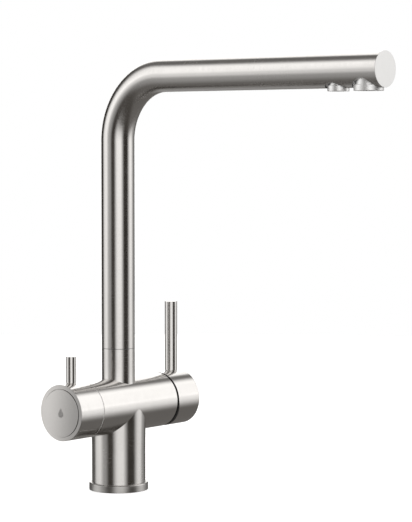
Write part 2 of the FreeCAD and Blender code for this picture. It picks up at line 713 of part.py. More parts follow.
# mixer lever: stem, sleeve, end face, pin and grub screw
ball = doc.addObject("Part::Sphere", "mixer_stem_ball")
bind(ball, "Radius", stem_ball_r)
place(ball, NO_TURN, stem_ball_x, ZERO, cross_z)
stem_parts = [
    ball,
    rod_x("mixer_stem_neck", stem_neck_r, ZERO, cross_z, stem_ball_x, stem_neck_x),
    rod_x("mixer_stem_shaft", stem_r, ZERO, cross_z, stem_neck_x, hub_start),
    rod_x("mixer_stem_boss", stem_boss_r, ZERO, cross_z, hub_start, stem_boss_end)]
pin_low = cross_z + mixer_pin_depth
sleeve_top_z = cross_z + cross_r
stem_tools = [
    rod_y("mixer_stem_eye", pivot_r + running, pivot_x, cross_z, -stem_r - 1.0, stem_r + 1.0),
    rod_z("mixer_stem_thread", mixer_pin_thread_r, mixer_pin_x, ZERO, pin_low, sleeve_top_z)]
node(cut("mixer_stem", fuse("mixer_stem_blank", stem_parts), stem_tools))
face_r = sleeve_bore_r - loose
mixer_blank = turned_x("mixer_sleeve_blank", [
    (pivot_x, sleeve_bore_r),
    (pivot_x, cross_r - rim_edge),
    (pivot_x + rim_edge, cross_r),
    (mixer_end - rim_edge, cross_r),
    (mixer_end, cross_r - rim_edge),
    (mixer_end, sleeve_bore_r),
    (hub_end, sleeve_bore_r),
    (hub_end, stem_boss_r),
    (hub_start, stem_boss_r),
    (hub_start, sleeve_bore_r)])
relief_block = block("mixer_relief_block", -cross_r, -cross_r * 2.0, -cross_r * 2.0,
                     cross_r, cross_r * 4.0, cross_r * 2.0)
relief = doc.addObject("Part::Compound", "mixer_relief")
relief.Links = [relief_block]
place(relief, FreeCAD.Rotation(FreeCAD.Vector(0, -1, 0), 8.0), pivot_x, ZERO, cross_z)
bind(relief, "Placement.Rotation.Angle", relief_angle)
mixer_sleeve_tools = [
    relief,
    rod_z("mixer_sleeve_thread", mixer_pin_thread_r, mixer_pin_x, ZERO, cross_z, sleeve_top_z + 1.0),
    rod_z("mixer_sleeve_grub", grub_r, mixer_pin_x, ZERO, cross_z - cross_r - 1.0, cross_z)]
node(cut("mixer_handle_sleeve", mixer_blank, mixer_sleeve_tools))
node(turned_x("mixer_handle_end_cap", [
    (hub_end, ZERO),
    (hub_end, face_r),
    (mixer_end + face_proud - face_edge, face_r),
    (mixer_end + face_proud, face_r - face_edge),
    (mixer_end + face_proud, ZERO)]))


def lever_pin(label, x, low, thread_r, radius, foot, top):
    """A plain round pin with a narrow screwed foot."""
    node(turned_z(label, x, ZERO, ZERO, [
        (ZERO, low),
        (thread_r, low),
        (thread_r, sleeve_top_z),
        (radius, sleeve_top_z + foot),
        (radius, top - pin_edge),
        (radius - pin_edge, top),
        (ZERO, top)]))


def grub_screw(label, x, high):
    """A short screw from below with a key socket in its lower end."""
    low = high - grub_length
    rod = rod_z(label + "_rod", grub_r, x, ZERO, low, high)
    key = rod_z(label + "_key", key_r, x, ZERO, low, low + key_depth)
    node(cut(label, rod, [key]))


lever_pin("mixer_lever_pin", mixer_pin_x, pin_low, mixer_pin_thread_r, mixer_pin_r,
          mixer_pin_foot, mixer_pin_top)
grub_screw("mixer_grub_screw", mixer_pin_x, cross_z - stem_boss_r)

# filter valve: seat seal, body and fixed disc
valve_start = web_half + seat_thick
valve_in = valve_start + valve_floor
valve_r = filter_bore_r - valve_clear
filter_fixed_end = valve_in + filter_fixed_thick
filter_disc_start = filter_fixed_end + disc_film
filter_disc_end = filter_disc_start + filter_disc_thick
spindle_flange_end = filter_disc_end + spindle_flange
valve_nose = spindle_flange_end + loose


def filter_holes(label, low, high):
    """The inlet and outlet ways through a plate of the filter valve."""
    return [
        rod_x(label + "_in", outlet_feed_r, ZERO, cross_z - filter_lift, -high, -low),
        rod_x(label + "_out", outlet_feed_r, ZERO, cross_z + filter_lift, -high, -low)]


seat_rod = rod_x("filter_seat_rod", valve_r, ZERO, cross_z, -valve_start, -web_half)
node(cut("filter_seat_seal", seat_rod, filter_holes("filter_seat", web_half, valve_start)))
valve_blank = turned_back("filter_valve_blank", [
    (valve_start, ZERO),
    (valve_start, valve_r),
    (body_left, valve_r),
    (body_left, spindle_r + running),
    (valve_nose, spindle_r + running),
    (valve_nose, valve_bore_r),
    (valve_in, valve_bore_r),
    (valve_in, ZERO)])
node(cut("filter_valve_body", valve_blank, filter_holes("filter_valve", valve_start, valve_in)))
filter_fixed_rod = rod_x("filter_fixed_rod", valve_bore_r - snug, ZERO, cross_z,
                         -filter_fixed_end, -valve_in)
node(cut("filter_fixed_disc", filter_fixed_rod, filter_holes("filter_fixed", valve_in, filter_fixed_end)))
slide_end = body_left + slide_thick
slide_r = cross_r - slide_inset
slide_disc = rod_x("slide_ring_disc", slide_r, ZERO, cross_z, -slide_end, -body_left)
slide_hole = rod_x("slide_ring_hole", slide_bore_r, ZERO, cross_z, -slide_end, -body_left)
node(cut("filter_slide_ring", slide_disc, [slide_hole]))

# filter handle: ceramic disc with its channel, spindle, seal, sleeve, face, mark, pin, screw
filter_moving_rod = rod_x("filter_moving_rod", filter_disc_r, ZERO, cross_z,
                          -filter_disc_end, -filter_disc_start)
channel = block("filter_channel", -filter_disc_start - channel_deep, -filter_disc_r + 0.7,
                cross_z - channel_half, channel_deep, filter_disc_r * 2.0 - 1.4, channel_half * 2.0)
node(cut("filter_moving_disc", filter_moving_rod, [channel]))
spindle_groove_r = spindle_r - spindle_seal * 2.0 + 0.03
spindle_groove_end = spindle_seal_x + spindle_seal_width
node(turned_back("filter_spindle", [
    (filter_disc_end, ZERO),
    (filter_disc_end, filter_disc_r),
    (spindle_flange_end, filter_disc_r),
    (spindle_flange_end, spindle_r),
    (spindle_seal_x, spindle_r),
    (spindle_seal_x, spindle_groove_r),
    (spindle_groove_end, spindle_groove_r),
    (spindle_groove_end, spindle_r),
    (spindle_end, spindle_r),
    (spindle_end, ZERO)]))
spindle_seal_mid = spindle_seal_x + spindle_seal_width / 2.0
node(torus("filter_spindle_o_ring", spindle_groove_r + spindle_seal, spindle_seal, TURN_TO_X,
           -spindle_seal_mid, ZERO, cross_z))
filter_start = slide_end + slide_gap
filter_blank = turned_back("filter_sleeve_blank", [
    (filter_start, sleeve_bore_r),
    (filter_start, cross_r),
    (filter_end - rim_edge, cross_r),
    (filter_end, cross_r - rim_edge),
    (filter_end, sleeve_bore_r),
    (filter_hub_end, sleeve_bore_r),
    (filter_hub_end, spindle_r),
    (filter_hub_start, spindle_r),
    (filter_hub_start, sleeve_bore_r)])
filter_pin_low = cross_z + filter_pin_depth
filter_sleeve_tools = [
    rod_z("filter_sleeve_thread", filter_pin_thread_r, -filter_pin_x, ZERO, filter_pin_low,
          sleeve_top_z + 1.0),
    rod_z("filter_sleeve_grub", grub_r, -filter_pin_x, ZERO, cross_z - cross_r - 1.0, cross_z)]
node(cut("filter_handle_sleeve", filter_blank, filter_sleeve_tools))
filter_face = filter_end + face_proud
node(turned_back("filter_handle_end_cap", [
    (filter_hub_end, ZERO),
    (filter_hub_end, face_r),
    (filter_face - face_edge, face_r),
    (filter_face, face_r - face_edge),
    (filter_face, ZERO)]))
lever_pin("filter_lever_pin", -filter_pin_x, filter_pin_low, filter_pin_thread_r, filter_pin_r,
          filter_pin_foot, filter_pin_top)
grub_screw("filter_grub_screw", -filter_pin_x, cross_z - spindle_r)

# water drop mark on the filter handle's end face
mark = doc.addObject("PartDesign::Body", "filter_drop_mark")
mark.Label = "filter_drop_mark"
outline = mark.newObject("Sketcher::SketchObject", "filter_drop_outline")
outline.AttachmentSupport = (origin_plane(mark, "YZ_Plane"), [""])
outline.MapMode = "FlatFace"
rise = drop_point.value + drop_sink.value
touch = math.asin(drop_r.value / rise)
right_x = drop_r.value * math.cos(touch)
right_y = drop_r.value * math.sin(touch) - drop_sink.value
centre = FreeCAD.Vector(0, -drop_sink.value, 0)
round_part = Part.Circle(centre, FreeCAD.Vector(0, 0, 1), drop_r.value)
outline.addGeometry(Part.ArcOfCircle(round_part, math.pi - touch, 2.0 * math.pi + touch), False)
right_spot = FreeCAD.Vector(right_x, right_y, 0)
left_spot = FreeCAD.Vector(-right_x, right_y, 0)
point_spot = FreeCAD.Vector(0, drop_point.value, 0)
outline.addGeometry(Part.LineSegment(right_spot, point_spot), False)
outline.addGeometry(Part.LineSegment(point_spot, left_spot), False)
outline.addConstraint(Sketcher.Constraint("Tangent", 0, 2, 1, 1))
outline.addConstraint(Sketcher.Constraint("Coincident", 1, 2, 2, 1))
outline.addConstraint(Sketcher.Constraint("Tangent", 2, 2, 0, 1))
outline.addConstraint(Sketcher.Constraint("PointOnObject", 0, 3, -2))
outline.addConstraint(Sketcher.Constraint("PointOnObject", 1, 2, -2))
mark_radius = outline.addConstraint(Sketcher.Constraint("Radius", 0, drop_r.value))
outline.setExpression("Constraints[%d]" % mark_radius, drop_r.text)
mark_point = outline.addConstraint(Sketcher.Constraint("DistanceY", -1, 1, 1, 2, drop_point.value))
outline.setExpression("Constraints[%d]" % mark_point, drop_point.text)
mark_sink = outline.addConstraint(Sketcher.Constraint("DistanceY", 0, 3, -1, 1, drop_sink.value))
outline.setExpression("Constraints[%d]" % mark_sink, drop_sink.text)
mark_pad = mark.newObject("PartDesign::Pad", "filter_drop_pad")
mark_pad.Profile = outline
bind(mark_pad, "Length", drop_thick)
place(mark, NO_TURN, -filter_face - drop_thick, ZERO, cross_z)
node(mark)

doc.recompute()
for thing in doc.Objects:
    if "Invalid" in thing.State or "Error" in thing.State:
        raise RuntimeError("not built: " + thing.Name + " " + str(thing.State))
for thing in nodes:
    shape = thing.Shape
    if shape.isNull() or not shape.isValid():
        raise RuntimeError("bad shape: " + thing.Label)
    shape.exportStep("parts/" + thing.Label + ".step")
    box = shape.BoundBox
    print("%-26s solids %d volume %9.1f x %7.2f %7.2f y %8.2f %7.2f z %7.2f %7.2f" % (
        thing.Label, len(shape.Solids), shape.Volume, box.XMin, box.XMax,
        box.YMin, box.YMax, box.ZMin, box.ZMax))
print("nodes", len(nodes))
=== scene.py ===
"""Looks of the mixer tap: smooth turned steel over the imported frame, in a plain white studio."""

import json
import logging
import math
from dataclasses import dataclass, field
from enum import Enum

import bpy
from mathutils import Matrix, Vector


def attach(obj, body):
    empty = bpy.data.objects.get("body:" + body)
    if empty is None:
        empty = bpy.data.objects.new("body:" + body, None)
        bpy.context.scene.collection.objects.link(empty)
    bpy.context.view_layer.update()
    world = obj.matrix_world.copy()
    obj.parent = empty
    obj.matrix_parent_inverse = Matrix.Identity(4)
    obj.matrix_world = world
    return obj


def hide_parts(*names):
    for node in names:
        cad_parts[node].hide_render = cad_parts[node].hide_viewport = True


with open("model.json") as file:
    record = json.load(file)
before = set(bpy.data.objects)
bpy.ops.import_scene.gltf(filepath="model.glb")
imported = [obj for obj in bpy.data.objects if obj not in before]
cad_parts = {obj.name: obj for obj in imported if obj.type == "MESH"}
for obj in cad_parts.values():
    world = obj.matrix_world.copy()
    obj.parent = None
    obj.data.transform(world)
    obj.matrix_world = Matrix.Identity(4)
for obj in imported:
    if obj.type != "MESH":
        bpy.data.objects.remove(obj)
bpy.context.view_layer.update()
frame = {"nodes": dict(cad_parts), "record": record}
LOG = logging.getLogger("mixer_tap")
MM = 0.001
ROUND = 160
NEAR = 0.01
NOISE_SPAN = (0.3, 0.7)
PATCH_SPAN = (0.35, 0.65)
Colour = tuple[float, float, float]
Span = tuple[float, float, float, float]


class Axis(Enum):
    """Axis that a turned piece is made about, as the turn that brings Z there."""

    UP = "up"
    RIGHT = "right"
    LEFT = "left"
    FRONT = "front"

    def matrix(self) -> Matrix:
        """Return the turn from the upright working pose to this axis."""
        turns = {
            Axis.UP: Matrix.Identity(4),
            Axis.RIGHT: Matrix.Rotation(math.pi / 2, 4, "Y"),
            Axis.LEFT: Matrix.Rotation(-math.pi / 2, 4, "Y"),
            Axis.FRONT: Matrix.Rotation(math.pi / 2, 4, "X"),
        }
        return turns[self]


class Grain(Enum):
    """Way that the brushing runs over a steel piece."""

    RINGS_ABOUT_Z = "rings_about_z"
    RINGS_ABOUT_X = "rings_about_x"
    FACE_ABOUT_X = "face_about_x"
    FACE_ABOUT_Y = "face_about_y"
    ALONG_TUBE = "along_tube"


class NodeBench:
    """Small helper that lays shader nodes into one tree."""

    def __init__(self, tree: bpy.types.NodeTree) -> None:
        """Take a node tree and clear it.

        Args:
            tree: The tree to fill.
        """
        self.tree = tree
        self.tree.nodes.clear()

    def add(self, kind: str, **settings: object) -> bpy.types.Node:
        """Add a node and set its properties.

        Args:
            kind: Node type, without the ShaderNode prefix.
            settings: Properties to set on the node.

        Returns:
            The new node.
        """
        made = self.tree.nodes.new("ShaderNode" + kind)
        for name, value in settings.items():
            setattr(made, name, value)
        return made

    def link(self, source: bpy.types.NodeSocket, target: bpy.types.NodeSocket) -> None:
        """Join two sockets."""
        self.tree.links.new(source, target)

    def feed(self, target: bpy.types.NodeSocket, value: object) -> None:
        """Give an input a socket or a plain value.

        Args:
            target: The input.
            value: A socket to join, or a value to set.
        """
        if isinstance(value, bpy.types.NodeSocket):
            self.link(value, target)
        else:
            target.default_value = value

    def math(self, operation: str, first: object, second: object = 0.0) -> bpy.types.NodeSocket:
        """Add a Math node.

        Args:
            operation: The node's operation.
            first: A socket or a number.
            second: A socket or a number.

        Returns:
            The node's output socket.
        """
        made = self.add("Math", operation=operation)
        self.feed(made.inputs[0], first)
        self.feed(made.inputs[1], second)
        return made.outputs[0]

    def span(self, value: bpy.types.NodeSocket, low: float, high: float,
             to_low: float, to_high: float) -> bpy.types.NodeSocket:
        """Map a value smoothly from one span to another.

        Args:
            value: The socket to map.
            low: Start of the span.
            high: End of the span.
            to_low: Result at the start.
            to_high: Result at the end.

        Returns:
            The mapped socket.
        """
        made = self.add("MapRange", interpolation_type="SMOOTHSTEP")
        self.link(value, made.inputs["Value"])
        made.inputs["From Min"].default_value = low
        made.inputs["From Max"].default_value = high
        made.inputs["To Min"].default_value = to_low
        made.inputs["To Max"].default_value = to_high
        return made.outputs["Result"]

    def mix(self, factor: bpy.types.NodeSocket, first: object, second: object) -> bpy.types.NodeSocket:
        """Mix two colours.

        Args:
            factor: Share of the second colour.
            first: A colour socket or a colour.
            second: A colour socket or a colour.

        Returns:
            The mixed colour socket.
        """
        made = self.add("Mix", data_type="RGBA")
        self.link(factor, made.inputs["Factor"])
        ends = [socket for socket in made.inputs if socket.type == "RGBA"]
        self.feed(ends[0], first)
        self.feed(ends[1], second)
        return [socket for socket in made.outputs if socket.type == "RGBA"][0]

    def scaled(self, colour: bpy.types.NodeSocket, amount: bpy.types.NodeSocket) -> bpy.types.NodeSocket:
        """Scale a colour.

        Args:
            colour: The colour to scale.
            amount: The factor.

        Returns:
            The scaled colour socket.
        """
        made = self.add("VectorMath", operation="SCALE")
        self.link(colour, made.inputs[0])
        self.link(amount, made.inputs["Scale"])
        return made.outputs["Vector"]

    def noise(self, place: bpy.types.NodeSocket, scale: float, detail: float = 3.0,
              sharpness: float = 0.5) -> bpy.types.NodeSocket:
        """Add a noise texture.

        Args:
            place: The coordinates.
            scale: Its scale.
            detail: Its detail.
            sharpness: Strength of its finer layers.

        Returns:
            The noise socket.
        """
        made = self.add("TexNoise")
        self.link(place, made.inputs["Vector"])
        made.inputs["Scale"].default_value = scale
        made.inputs["Detail"].default_value = detail
        made.inputs["Roughness"].default_value = sharpness
        return made.outputs["Fac"]

    def bump(self, shader: bpy.types.Node, height: bpy.types.NodeSocket, strength: float,
             deep: float) -> None:
        """Give a shader a fine relief.

        Args:
            shader: The shader.
            height: Height of the relief.
            strength: How strongly it shows.
            deep: Its depth in millimetres.
        """
        made = self.add("Bump")
        made.inputs["Strength"].default_value = strength
        made.inputs["Distance"].default_value = deep * MM
        self.link(height, made.inputs["Height"])
        self.link(made.outputs["Normal"], shader.inputs["Normal"])

    def choose(self, factor: bpy.types.NodeSocket, first: bpy.types.Node,
               second: bpy.types.Node) -> bpy.types.Node:
        """Choose between two shaders.

        Args:
            factor: Zero for the first shader, one for the second.
            first: A shader.
            second: A shader.

        Returns:
            The mixing node.
        """
        made = self.add("MixShader")
        for index, socket in enumerate((factor, first.outputs[0], second.outputs[0])):
            self.link(socket, made.inputs[index])
        return made


def new_material(name: str) -> tuple[bpy.types.Material, NodeBench, bpy.types.Node]:
    """Start a node material with one shader.

    Args:
        name: Name of the material.

    Returns:
        The material, its node bench and its shader.
    """
    made = bpy.data.materials.new(name)
    made.use_nodes = True
    bench = NodeBench(made.node_tree)
    shader = bench.add("BsdfPrincipled")
    bench.link(shader.outputs[0], bench.add("OutputMaterial").inputs["Surface"])
    return made, bench, shader


def tinted(colour: Colour, factor: float) -> tuple[float, float, float, float]:
    """Return a colour made lighter or darker, at most white."""
    return (*[min(channel * factor, 1.0) for channel in colour], 1.0)


@dataclass(frozen=True)
class SteelFinish:
    """Satin brushed steel: fine grain lines, uneven roughness, faint colour drift and, where set, painted
    shading towards the front.
    """

    name: str
    grain: Grain
    colour: Colour = (0.60, 0.585, 0.57)
    roughness: float = 0.22
    stretch: float = 0.8
    # Below one, the three fields here paint shading into the base colour, darker towards the front side of a
    # face.
    painted_shade: float = 1.0
    painted_shade_front: float = -22.0
    painted_shade_back: float = 20.0
    lines_per_mm: float = 5.0
    line_length: float = 0.03
    line_detail: float = 4.0
    line_sharpness: float = 0.65
    line_deep: float = 0.02
    relief: float = 0.022
    streak: float = 0.0
    rough_swing: float = 0.05
    patch_scale: float = 45.0
    patch_swing: float = 0.015
    tint_low: float = 0.95
    tint_high: float = 1.04
    brush_turn: float = 0.25

    def material(self) -> bpy.types.Material:
        """Build the node material.

        Returns:
            The finished material.
        """
        made, bench, steel = new_material(self.name)
        steel.inputs["Metallic"].default_value = 1.0
        lines = bench.noise(self._grain_place(bench), 1.0, self.line_detail, self.line_sharpness)
        patches = bench.noise(bench.add("TexCoord").outputs["Object"], self.patch_scale)
        rough = bench.span(lines, *NOISE_SPAN, self.roughness - self.rough_swing,
                           self.roughness + self.rough_swing)
        drift = bench.span(patches, *PATCH_SPAN, -self.patch_swing, self.patch_swing)
        bench.link(bench.math("ADD", rough, drift), steel.inputs["Roughness"])
        colour = bench.mix(patches, tinted(self.colour, self.tint_low), tinted(self.colour, self.tint_high))
        if self.streak > 0.0:
            streaks = bench.span(lines, *NOISE_SPAN, 1.0 - self.streak, 1.0 + self.streak)
            colour = bench.scaled(colour, streaks)
        # Painted shading: the colour darkens towards the front side of the face.
        if self.painted_shade < 1.0:
            colour = self._painted_shading(bench, colour)
        bench.link(colour, steel.inputs["Base Color"])
        self._brush(bench, steel)
        bench.bump(steel, lines, self.relief, self.line_deep)
        return made

    def _brush(self, bench: NodeBench, steel: bpy.types.Node) -> None:
        """Stretch the highlights across the brush lines.

        Args:
            bench: The material's node bench.
            steel: The shader to set.
        """
        axes = {Grain.RINGS_ABOUT_Z: "Z", Grain.RINGS_ABOUT_X: "X"}
        if self.grain is Grain.ALONG_TUBE:
            tangent = bench.add("Tangent", direction_type="UV_MAP", uv_map="straightened_uv")
        elif self.grain in axes:
            tangent = bench.add("Tangent", direction_type="RADIAL", axis=axes[self.grain])
        else:
            return
        steel.inputs["Anisotropic"].default_value = self.stretch
        steel.inputs["Anisotropic Rotation"].default_value = self.brush_turn
        bench.link(tangent.outputs["Tangent"], steel.inputs["Tangent"])

    def _painted_shading(self, bench: NodeBench, colour: bpy.types.NodeSocket) -> bpy.types.NodeSocket:
        """Paint shading on a brushed face: darken its colour softly towards its front side.

        Args:
            bench: The material's node bench.
            colour: The colour to shade.

        Returns:
            The colour socket with the painted shading.
        """
        split = bench.add("SeparateXYZ")
        bench.link(bench.add("TexCoord").outputs["Object"], split.inputs[0])
        amount = bench.span(split.outputs["Y"], self.painted_shade_front * MM, self.painted_shade_back * MM, self.painted_shade, 1.0)
        return bench.scaled(colour, amount)

    def _grain_place(self, bench: NodeBench) -> bpy.types.NodeSocket:
        """Lay out the coordinates that stretch the noise into brush lines.

        Args:
            bench: The material's node bench.

        Returns:
            The vector socket for the line noise.
        """
        fine = self.lines_per_mm / MM
        wide = self.line_length * fine
        scales = {
            Grain.RINGS_ABOUT_Z: (wide, wide, fine),
            Grain.RINGS_ABOUT_X: (fine, wide, wide),
            Grain.ALONG_TUBE: (wide, wide, fine),
            Grain.FACE_ABOUT_X: (wide, fine, fine),
            Grain.FACE_ABOUT_Y: (fine, wide, fine),
        }
        if self.grain is Grain.ALONG_TUBE:
            source = bench.add("Attribute", attribute_name="straightened").outputs["Vector"]
        else:
            source = bench.add("TexCoord").outputs["Object"]
        mapping = bench.add("Mapping")
        mapping.inputs["Scale"].default_value = scales[self.grain]
        bench.link(source, mapping.inputs["Vector"])
        return mapping.outputs["Vector"]


@dataclass(frozen=True)
class MouldedFinish:
    """Plastic, rubber, ceramic or bare brass with a fine surface texture."""

    name: str
    colour: Colour
    roughness: float
    metallic: float = 0.0
    shine: float = 0.5
    texture_mm: float = 0.6
    relief: float = 0.15
    speckle_deep: float = 0.05
    rough_swing: float = 0.06
    tint_low: float = 0.88
    tint_high: float = 1.1

    def material(self) -> bpy.types.Material:
        """Build the node material.

        Returns:
            The finished material.
        """
        made, bench, shader = new_material(self.name)
        shader.inputs["Metallic"].default_value = self.metallic
        shader.inputs["Specular IOR Level"].default_value = self.shine
        speckle = bench.noise(bench.add("TexCoord").outputs["Object"], 1.0 / (self.texture_mm * MM))
        colour = bench.mix(speckle, tinted(self.colour, self.tint_low), tinted(self.colour, self.tint_high))
        bench.link(colour, shader.inputs["Base Color"])
        rough = bench.span(speckle, *NOISE_SPAN, self.roughness - self.rough_swing,
                           self.roughness + self.rough_swing)
        bench.link(rough, shader.inputs["Roughness"])
        bench.bump(shader, speckle, self.relief, self.speckle_deep)
        return made


class Finishes:
    """The tap's finishes, each built once."""

    def __init__(self) -> None:
        """Build every material that the tap uses."""
        self.upright = SteelFinish("steel_rings_upright", Grain.RINGS_ABOUT_Z).material()
        # Base ring: a rougher, streaked finish, and a colour darker than the other steel, which is painted
        # shading.
        self.ring = SteelFinish("steel_base_ring_painted_shading", Grain.RINGS_ABOUT_Z, (0.49, 0.479, 0.466), 0.41,
                                streak=0.12, lines_per_mm=0.9).material()
        self.chamfer = SteelFinish("steel_chamfer", Grain.RINGS_ABOUT_Z, roughness=0.12,
                                   stretch=0.0).material()
        self.cross = SteelFinish("steel_rings_across", Grain.RINGS_ABOUT_X, roughness=0.17).material()
        # Painted shadow: a near-black colour for the relief's cut face and the walls of the spout's openings,
        # where they lie in shadow.
        self.relief = MouldedFinish("steel_relief_painted_shadow", (0.07, 0.068, 0.066), 0.6).material()
        self.tube = SteelFinish("steel_tube", Grain.ALONG_TUBE).material()
        # Painted shading on the handle end faces: their colour darkens towards the front, standing in for a
        # change in their reflection.
        self.handle_face = SteelFinish("steel_handle_face_painted_shading", Grain.FACE_ABOUT_X, roughness=0.30,
                                       painted_shade=0.52).material()
        self.spout_face = SteelFinish("steel_spout_face", Grain.FACE_ABOUT_Y, (0.59, 0.586, 0.58),
                                      0.30).material()
        self.pin = SteelFinish("steel_pin", Grain.RINGS_ABOUT_Z, roughness=0.20).material()
        # Painted light: the outlets' steel colour is much lighter than the other steel, to make them look
        # brighter.
        self.outlet = SteelFinish("steel_outlet_painted_light", Grain.RINGS_ABOUT_Z, (0.86, 0.855, 0.85), 0.45,
                                  0.0).material()
        self.screw = SteelFinish("steel_screw", Grain.RINGS_ABOUT_Z, (0.35, 0.35, 0.36), 0.32).material()
        self.brass = MouldedFinish("brass_machined", (0.62, 0.50, 0.28), 0.35, 1.0, texture_mm=0.3).material()
        self.rubber = MouldedFinish("rubber_black", (0.025, 0.025, 0.025), 0.7).material()
        self.dark_nylon = MouldedFinish("nylon_dark", (0.008, 0.008, 0.008), 0.8, shine=0.05).material()
        self.seam = MouldedFinish("nylon_grey", (0.10, 0.10, 0.10), 0.5).material()
        self.pale_nylon = MouldedFinish("nylon_pale", (0.80, 0.79, 0.77), 0.5).material()
        self.cartridge = MouldedFinish("plastic_cartridge", (0.30, 0.31, 0.33), 0.5).material()
        self.riser = MouldedFinish("plastic_riser", (0.80, 0.80, 0.80), 0.45).material()
        self.spray = MouldedFinish("plastic_spray", (0.42, 0.43, 0.44), 0.45).material()
        self.ceramic = MouldedFinish("ceramic_lapped", (0.85, 0.84, 0.82), 0.2, texture_mm=0.2,
                                     relief=0.05).material()
        self.mark = MouldedFinish("print_grey", (0.29, 0.282, 0.274), 0.6).material()


class Lathe:
    """Turns, cuts and finishes meshes the way a workshop would."""

    @staticmethod
    def deselect() -> None:
        """Leave edit mode and select nothing."""
        if bpy.context.object and bpy.context.object.mode != "OBJECT":
            bpy.ops.object.mode_set(mode="OBJECT")
        bpy.ops.object.select_all(action="DESELECT")

    @staticmethod
    def choose(piece: bpy.types.Object) -> None:
        """Make one piece the only selected and active one."""
        Lathe.deselect()
        piece.select_set(True)
        bpy.context.view_layer.objects.active = piece

    @staticmethod
    def turn(name: str, axis: Axis, at: tuple[float, float, float],
             profile: list[tuple[float, float]], hollow: bool = False) -> bpy.types.Object:
        """Turn a closed piece from a profile.

        Args:
            name: Name of the new piece.
            axis: Axis to turn about.
            at: Point on the axis that distances count from, in millimetres.
            profile: Points of distance along the axis and radius, in millimetres.
            hollow: True joins the last point to the first, as in a ring.

        Returns:
            The piece, with its place in its mesh.
        """
        Lathe.deselect()
        first, radius = profile[0]
        bpy.ops.mesh.primitive_circle_add(vertices=ROUND, radius=radius * MM, location=(0, 0, first * MM))
        piece = bpy.context.object
        piece.name = name
        bpy.ops.object.transform_apply(location=True, rotation=True, scale=True)
        bpy.ops.object.mode_set(mode="EDIT")
        bpy.ops.mesh.select_all(action="SELECT")
        if not hollow:
            bpy.ops.mesh.edge_face_add()
            bpy.ops.mesh.select_all(action="SELECT")
        for (before, old), (after, new) in zip(profile, profile[1:]):
            shift = (0, 0, (after - before) * MM)
            if hollow:
                bpy.ops.mesh.extrude_edges_move(TRANSFORM_OT_translate={"value": shift})
            else:
                bpy.ops.mesh.extrude_region_move(TRANSFORM_OT_translate={"value": shift})
            factor = new / old
            bpy.ops.transform.resize(value=(factor, factor, 1.0), center_override=(0, 0, after * MM))
        if hollow:
            bpy.ops.mesh.select_all(action="DESELECT")
            bpy.ops.mesh.select_non_manifold(extend=False, use_wire=False, use_multi_face=False,
                                             use_non_contiguous=False, use_verts=False)
            bpy.ops.mesh.bridge_edge_loops()
        bpy.ops.mesh.select_all(action="SELECT")
        bpy.ops.mesh.normals_make_consistent(inside=False)
        bpy.ops.object.mode_set(mode="OBJECT")
        piece.data.transform(Matrix.Translation(Vector(at) * MM) @ axis.matrix())
        return piece

    @staticmethod
    def ring(name: str, axis: Axis, height: float, ends: tuple[float, float],
             radii: tuple[float, float]) -> bpy.types.Object:
        """Turn a plain ring and smooth it.

        Args:
            name: Name of the new piece.
            axis: Axis to turn about.
            height: Height that distances count from.
            ends: Distances of its two ends along the axis.
            radii: Inner and outer radius.

        Returns:
            The finished ring.
        """
        low, high = ends
        inner, outer = radii
        ring = Lathe.turn(name, axis, (0, 0, height),
                          [(low, inner), (low, outer), (high, outer), (high, inner)], hollow=True)
        Lathe.finish(ring, 0.0)
        return ring

    @staticmethod
    def cut(piece: bpy.types.Object, tools: list[bpy.types.Object]) -> None:
        """Cut tools out of a piece and throw the tools away.

        Args:
            piece: The piece to cut.
            tools: Closed meshes to take away.
        """
        for tool in tools:
            Lathe.choose(piece)
            step = piece.modifiers.new("cut", "BOOLEAN")
            step.operation = "DIFFERENCE"
            step.solver = "EXACT"
            step.object = tool
            bpy.ops.object.modifier_apply(modifier=step.name)
            bpy.data.objects.remove(tool)

    @staticmethod
    def finish(piece: bpy.types.Object, edge: float, sharp: float = 35.0) -> None:
        """Break the sharp edges and smooth the rest.

        Args:
            piece: The piece to finish.
            edge: Width of the broken edges, in millimetres; zero leaves them.
            sharp: Angle above which an edge stays crisp, in degrees.
        """
        Lathe.choose(piece)
        if edge > 0:
            step = piece.modifiers.new("edges", "BEVEL")
            step.width = edge * MM
            step.segments = 3
            step.limit_method = "ANGLE"
            step.angle_limit = math.radians(sharp)
            step.harden_normals = False
            bpy.ops.object.modifier_apply(modifier=step.name)
        bpy.ops.object.shade_smooth_by_angle(angle=math.radians(sharp))
        if edge > 0:
            flat = piece.modifiers.new("flat", "WEIGHTED_NORMAL")
            flat.keep_sharp = True
            bpy.ops.object.modifier_apply(modifier=flat.name)

    @staticmethod
    def fit(piece: bpy.types.Object, body: str, slot: str, material: bpy.types.Material, *nodes: str) -> None:
        """Dress a piece and put it on its body in place of CAD nodes.

        Args:
            piece: The finished piece.
            body: Body that it rides on.
            slot: The record's material slot; not used.
            material: Its material.
            nodes: CAD nodes that it stands for.
        """
        piece.data.materials.clear()
        piece.data.materials.append(material)
        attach(piece, body)
        if nodes:
            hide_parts(*nodes)
        LOG.info("%s: %d faces on %s", piece.name, len(piece.data.polygons), body)


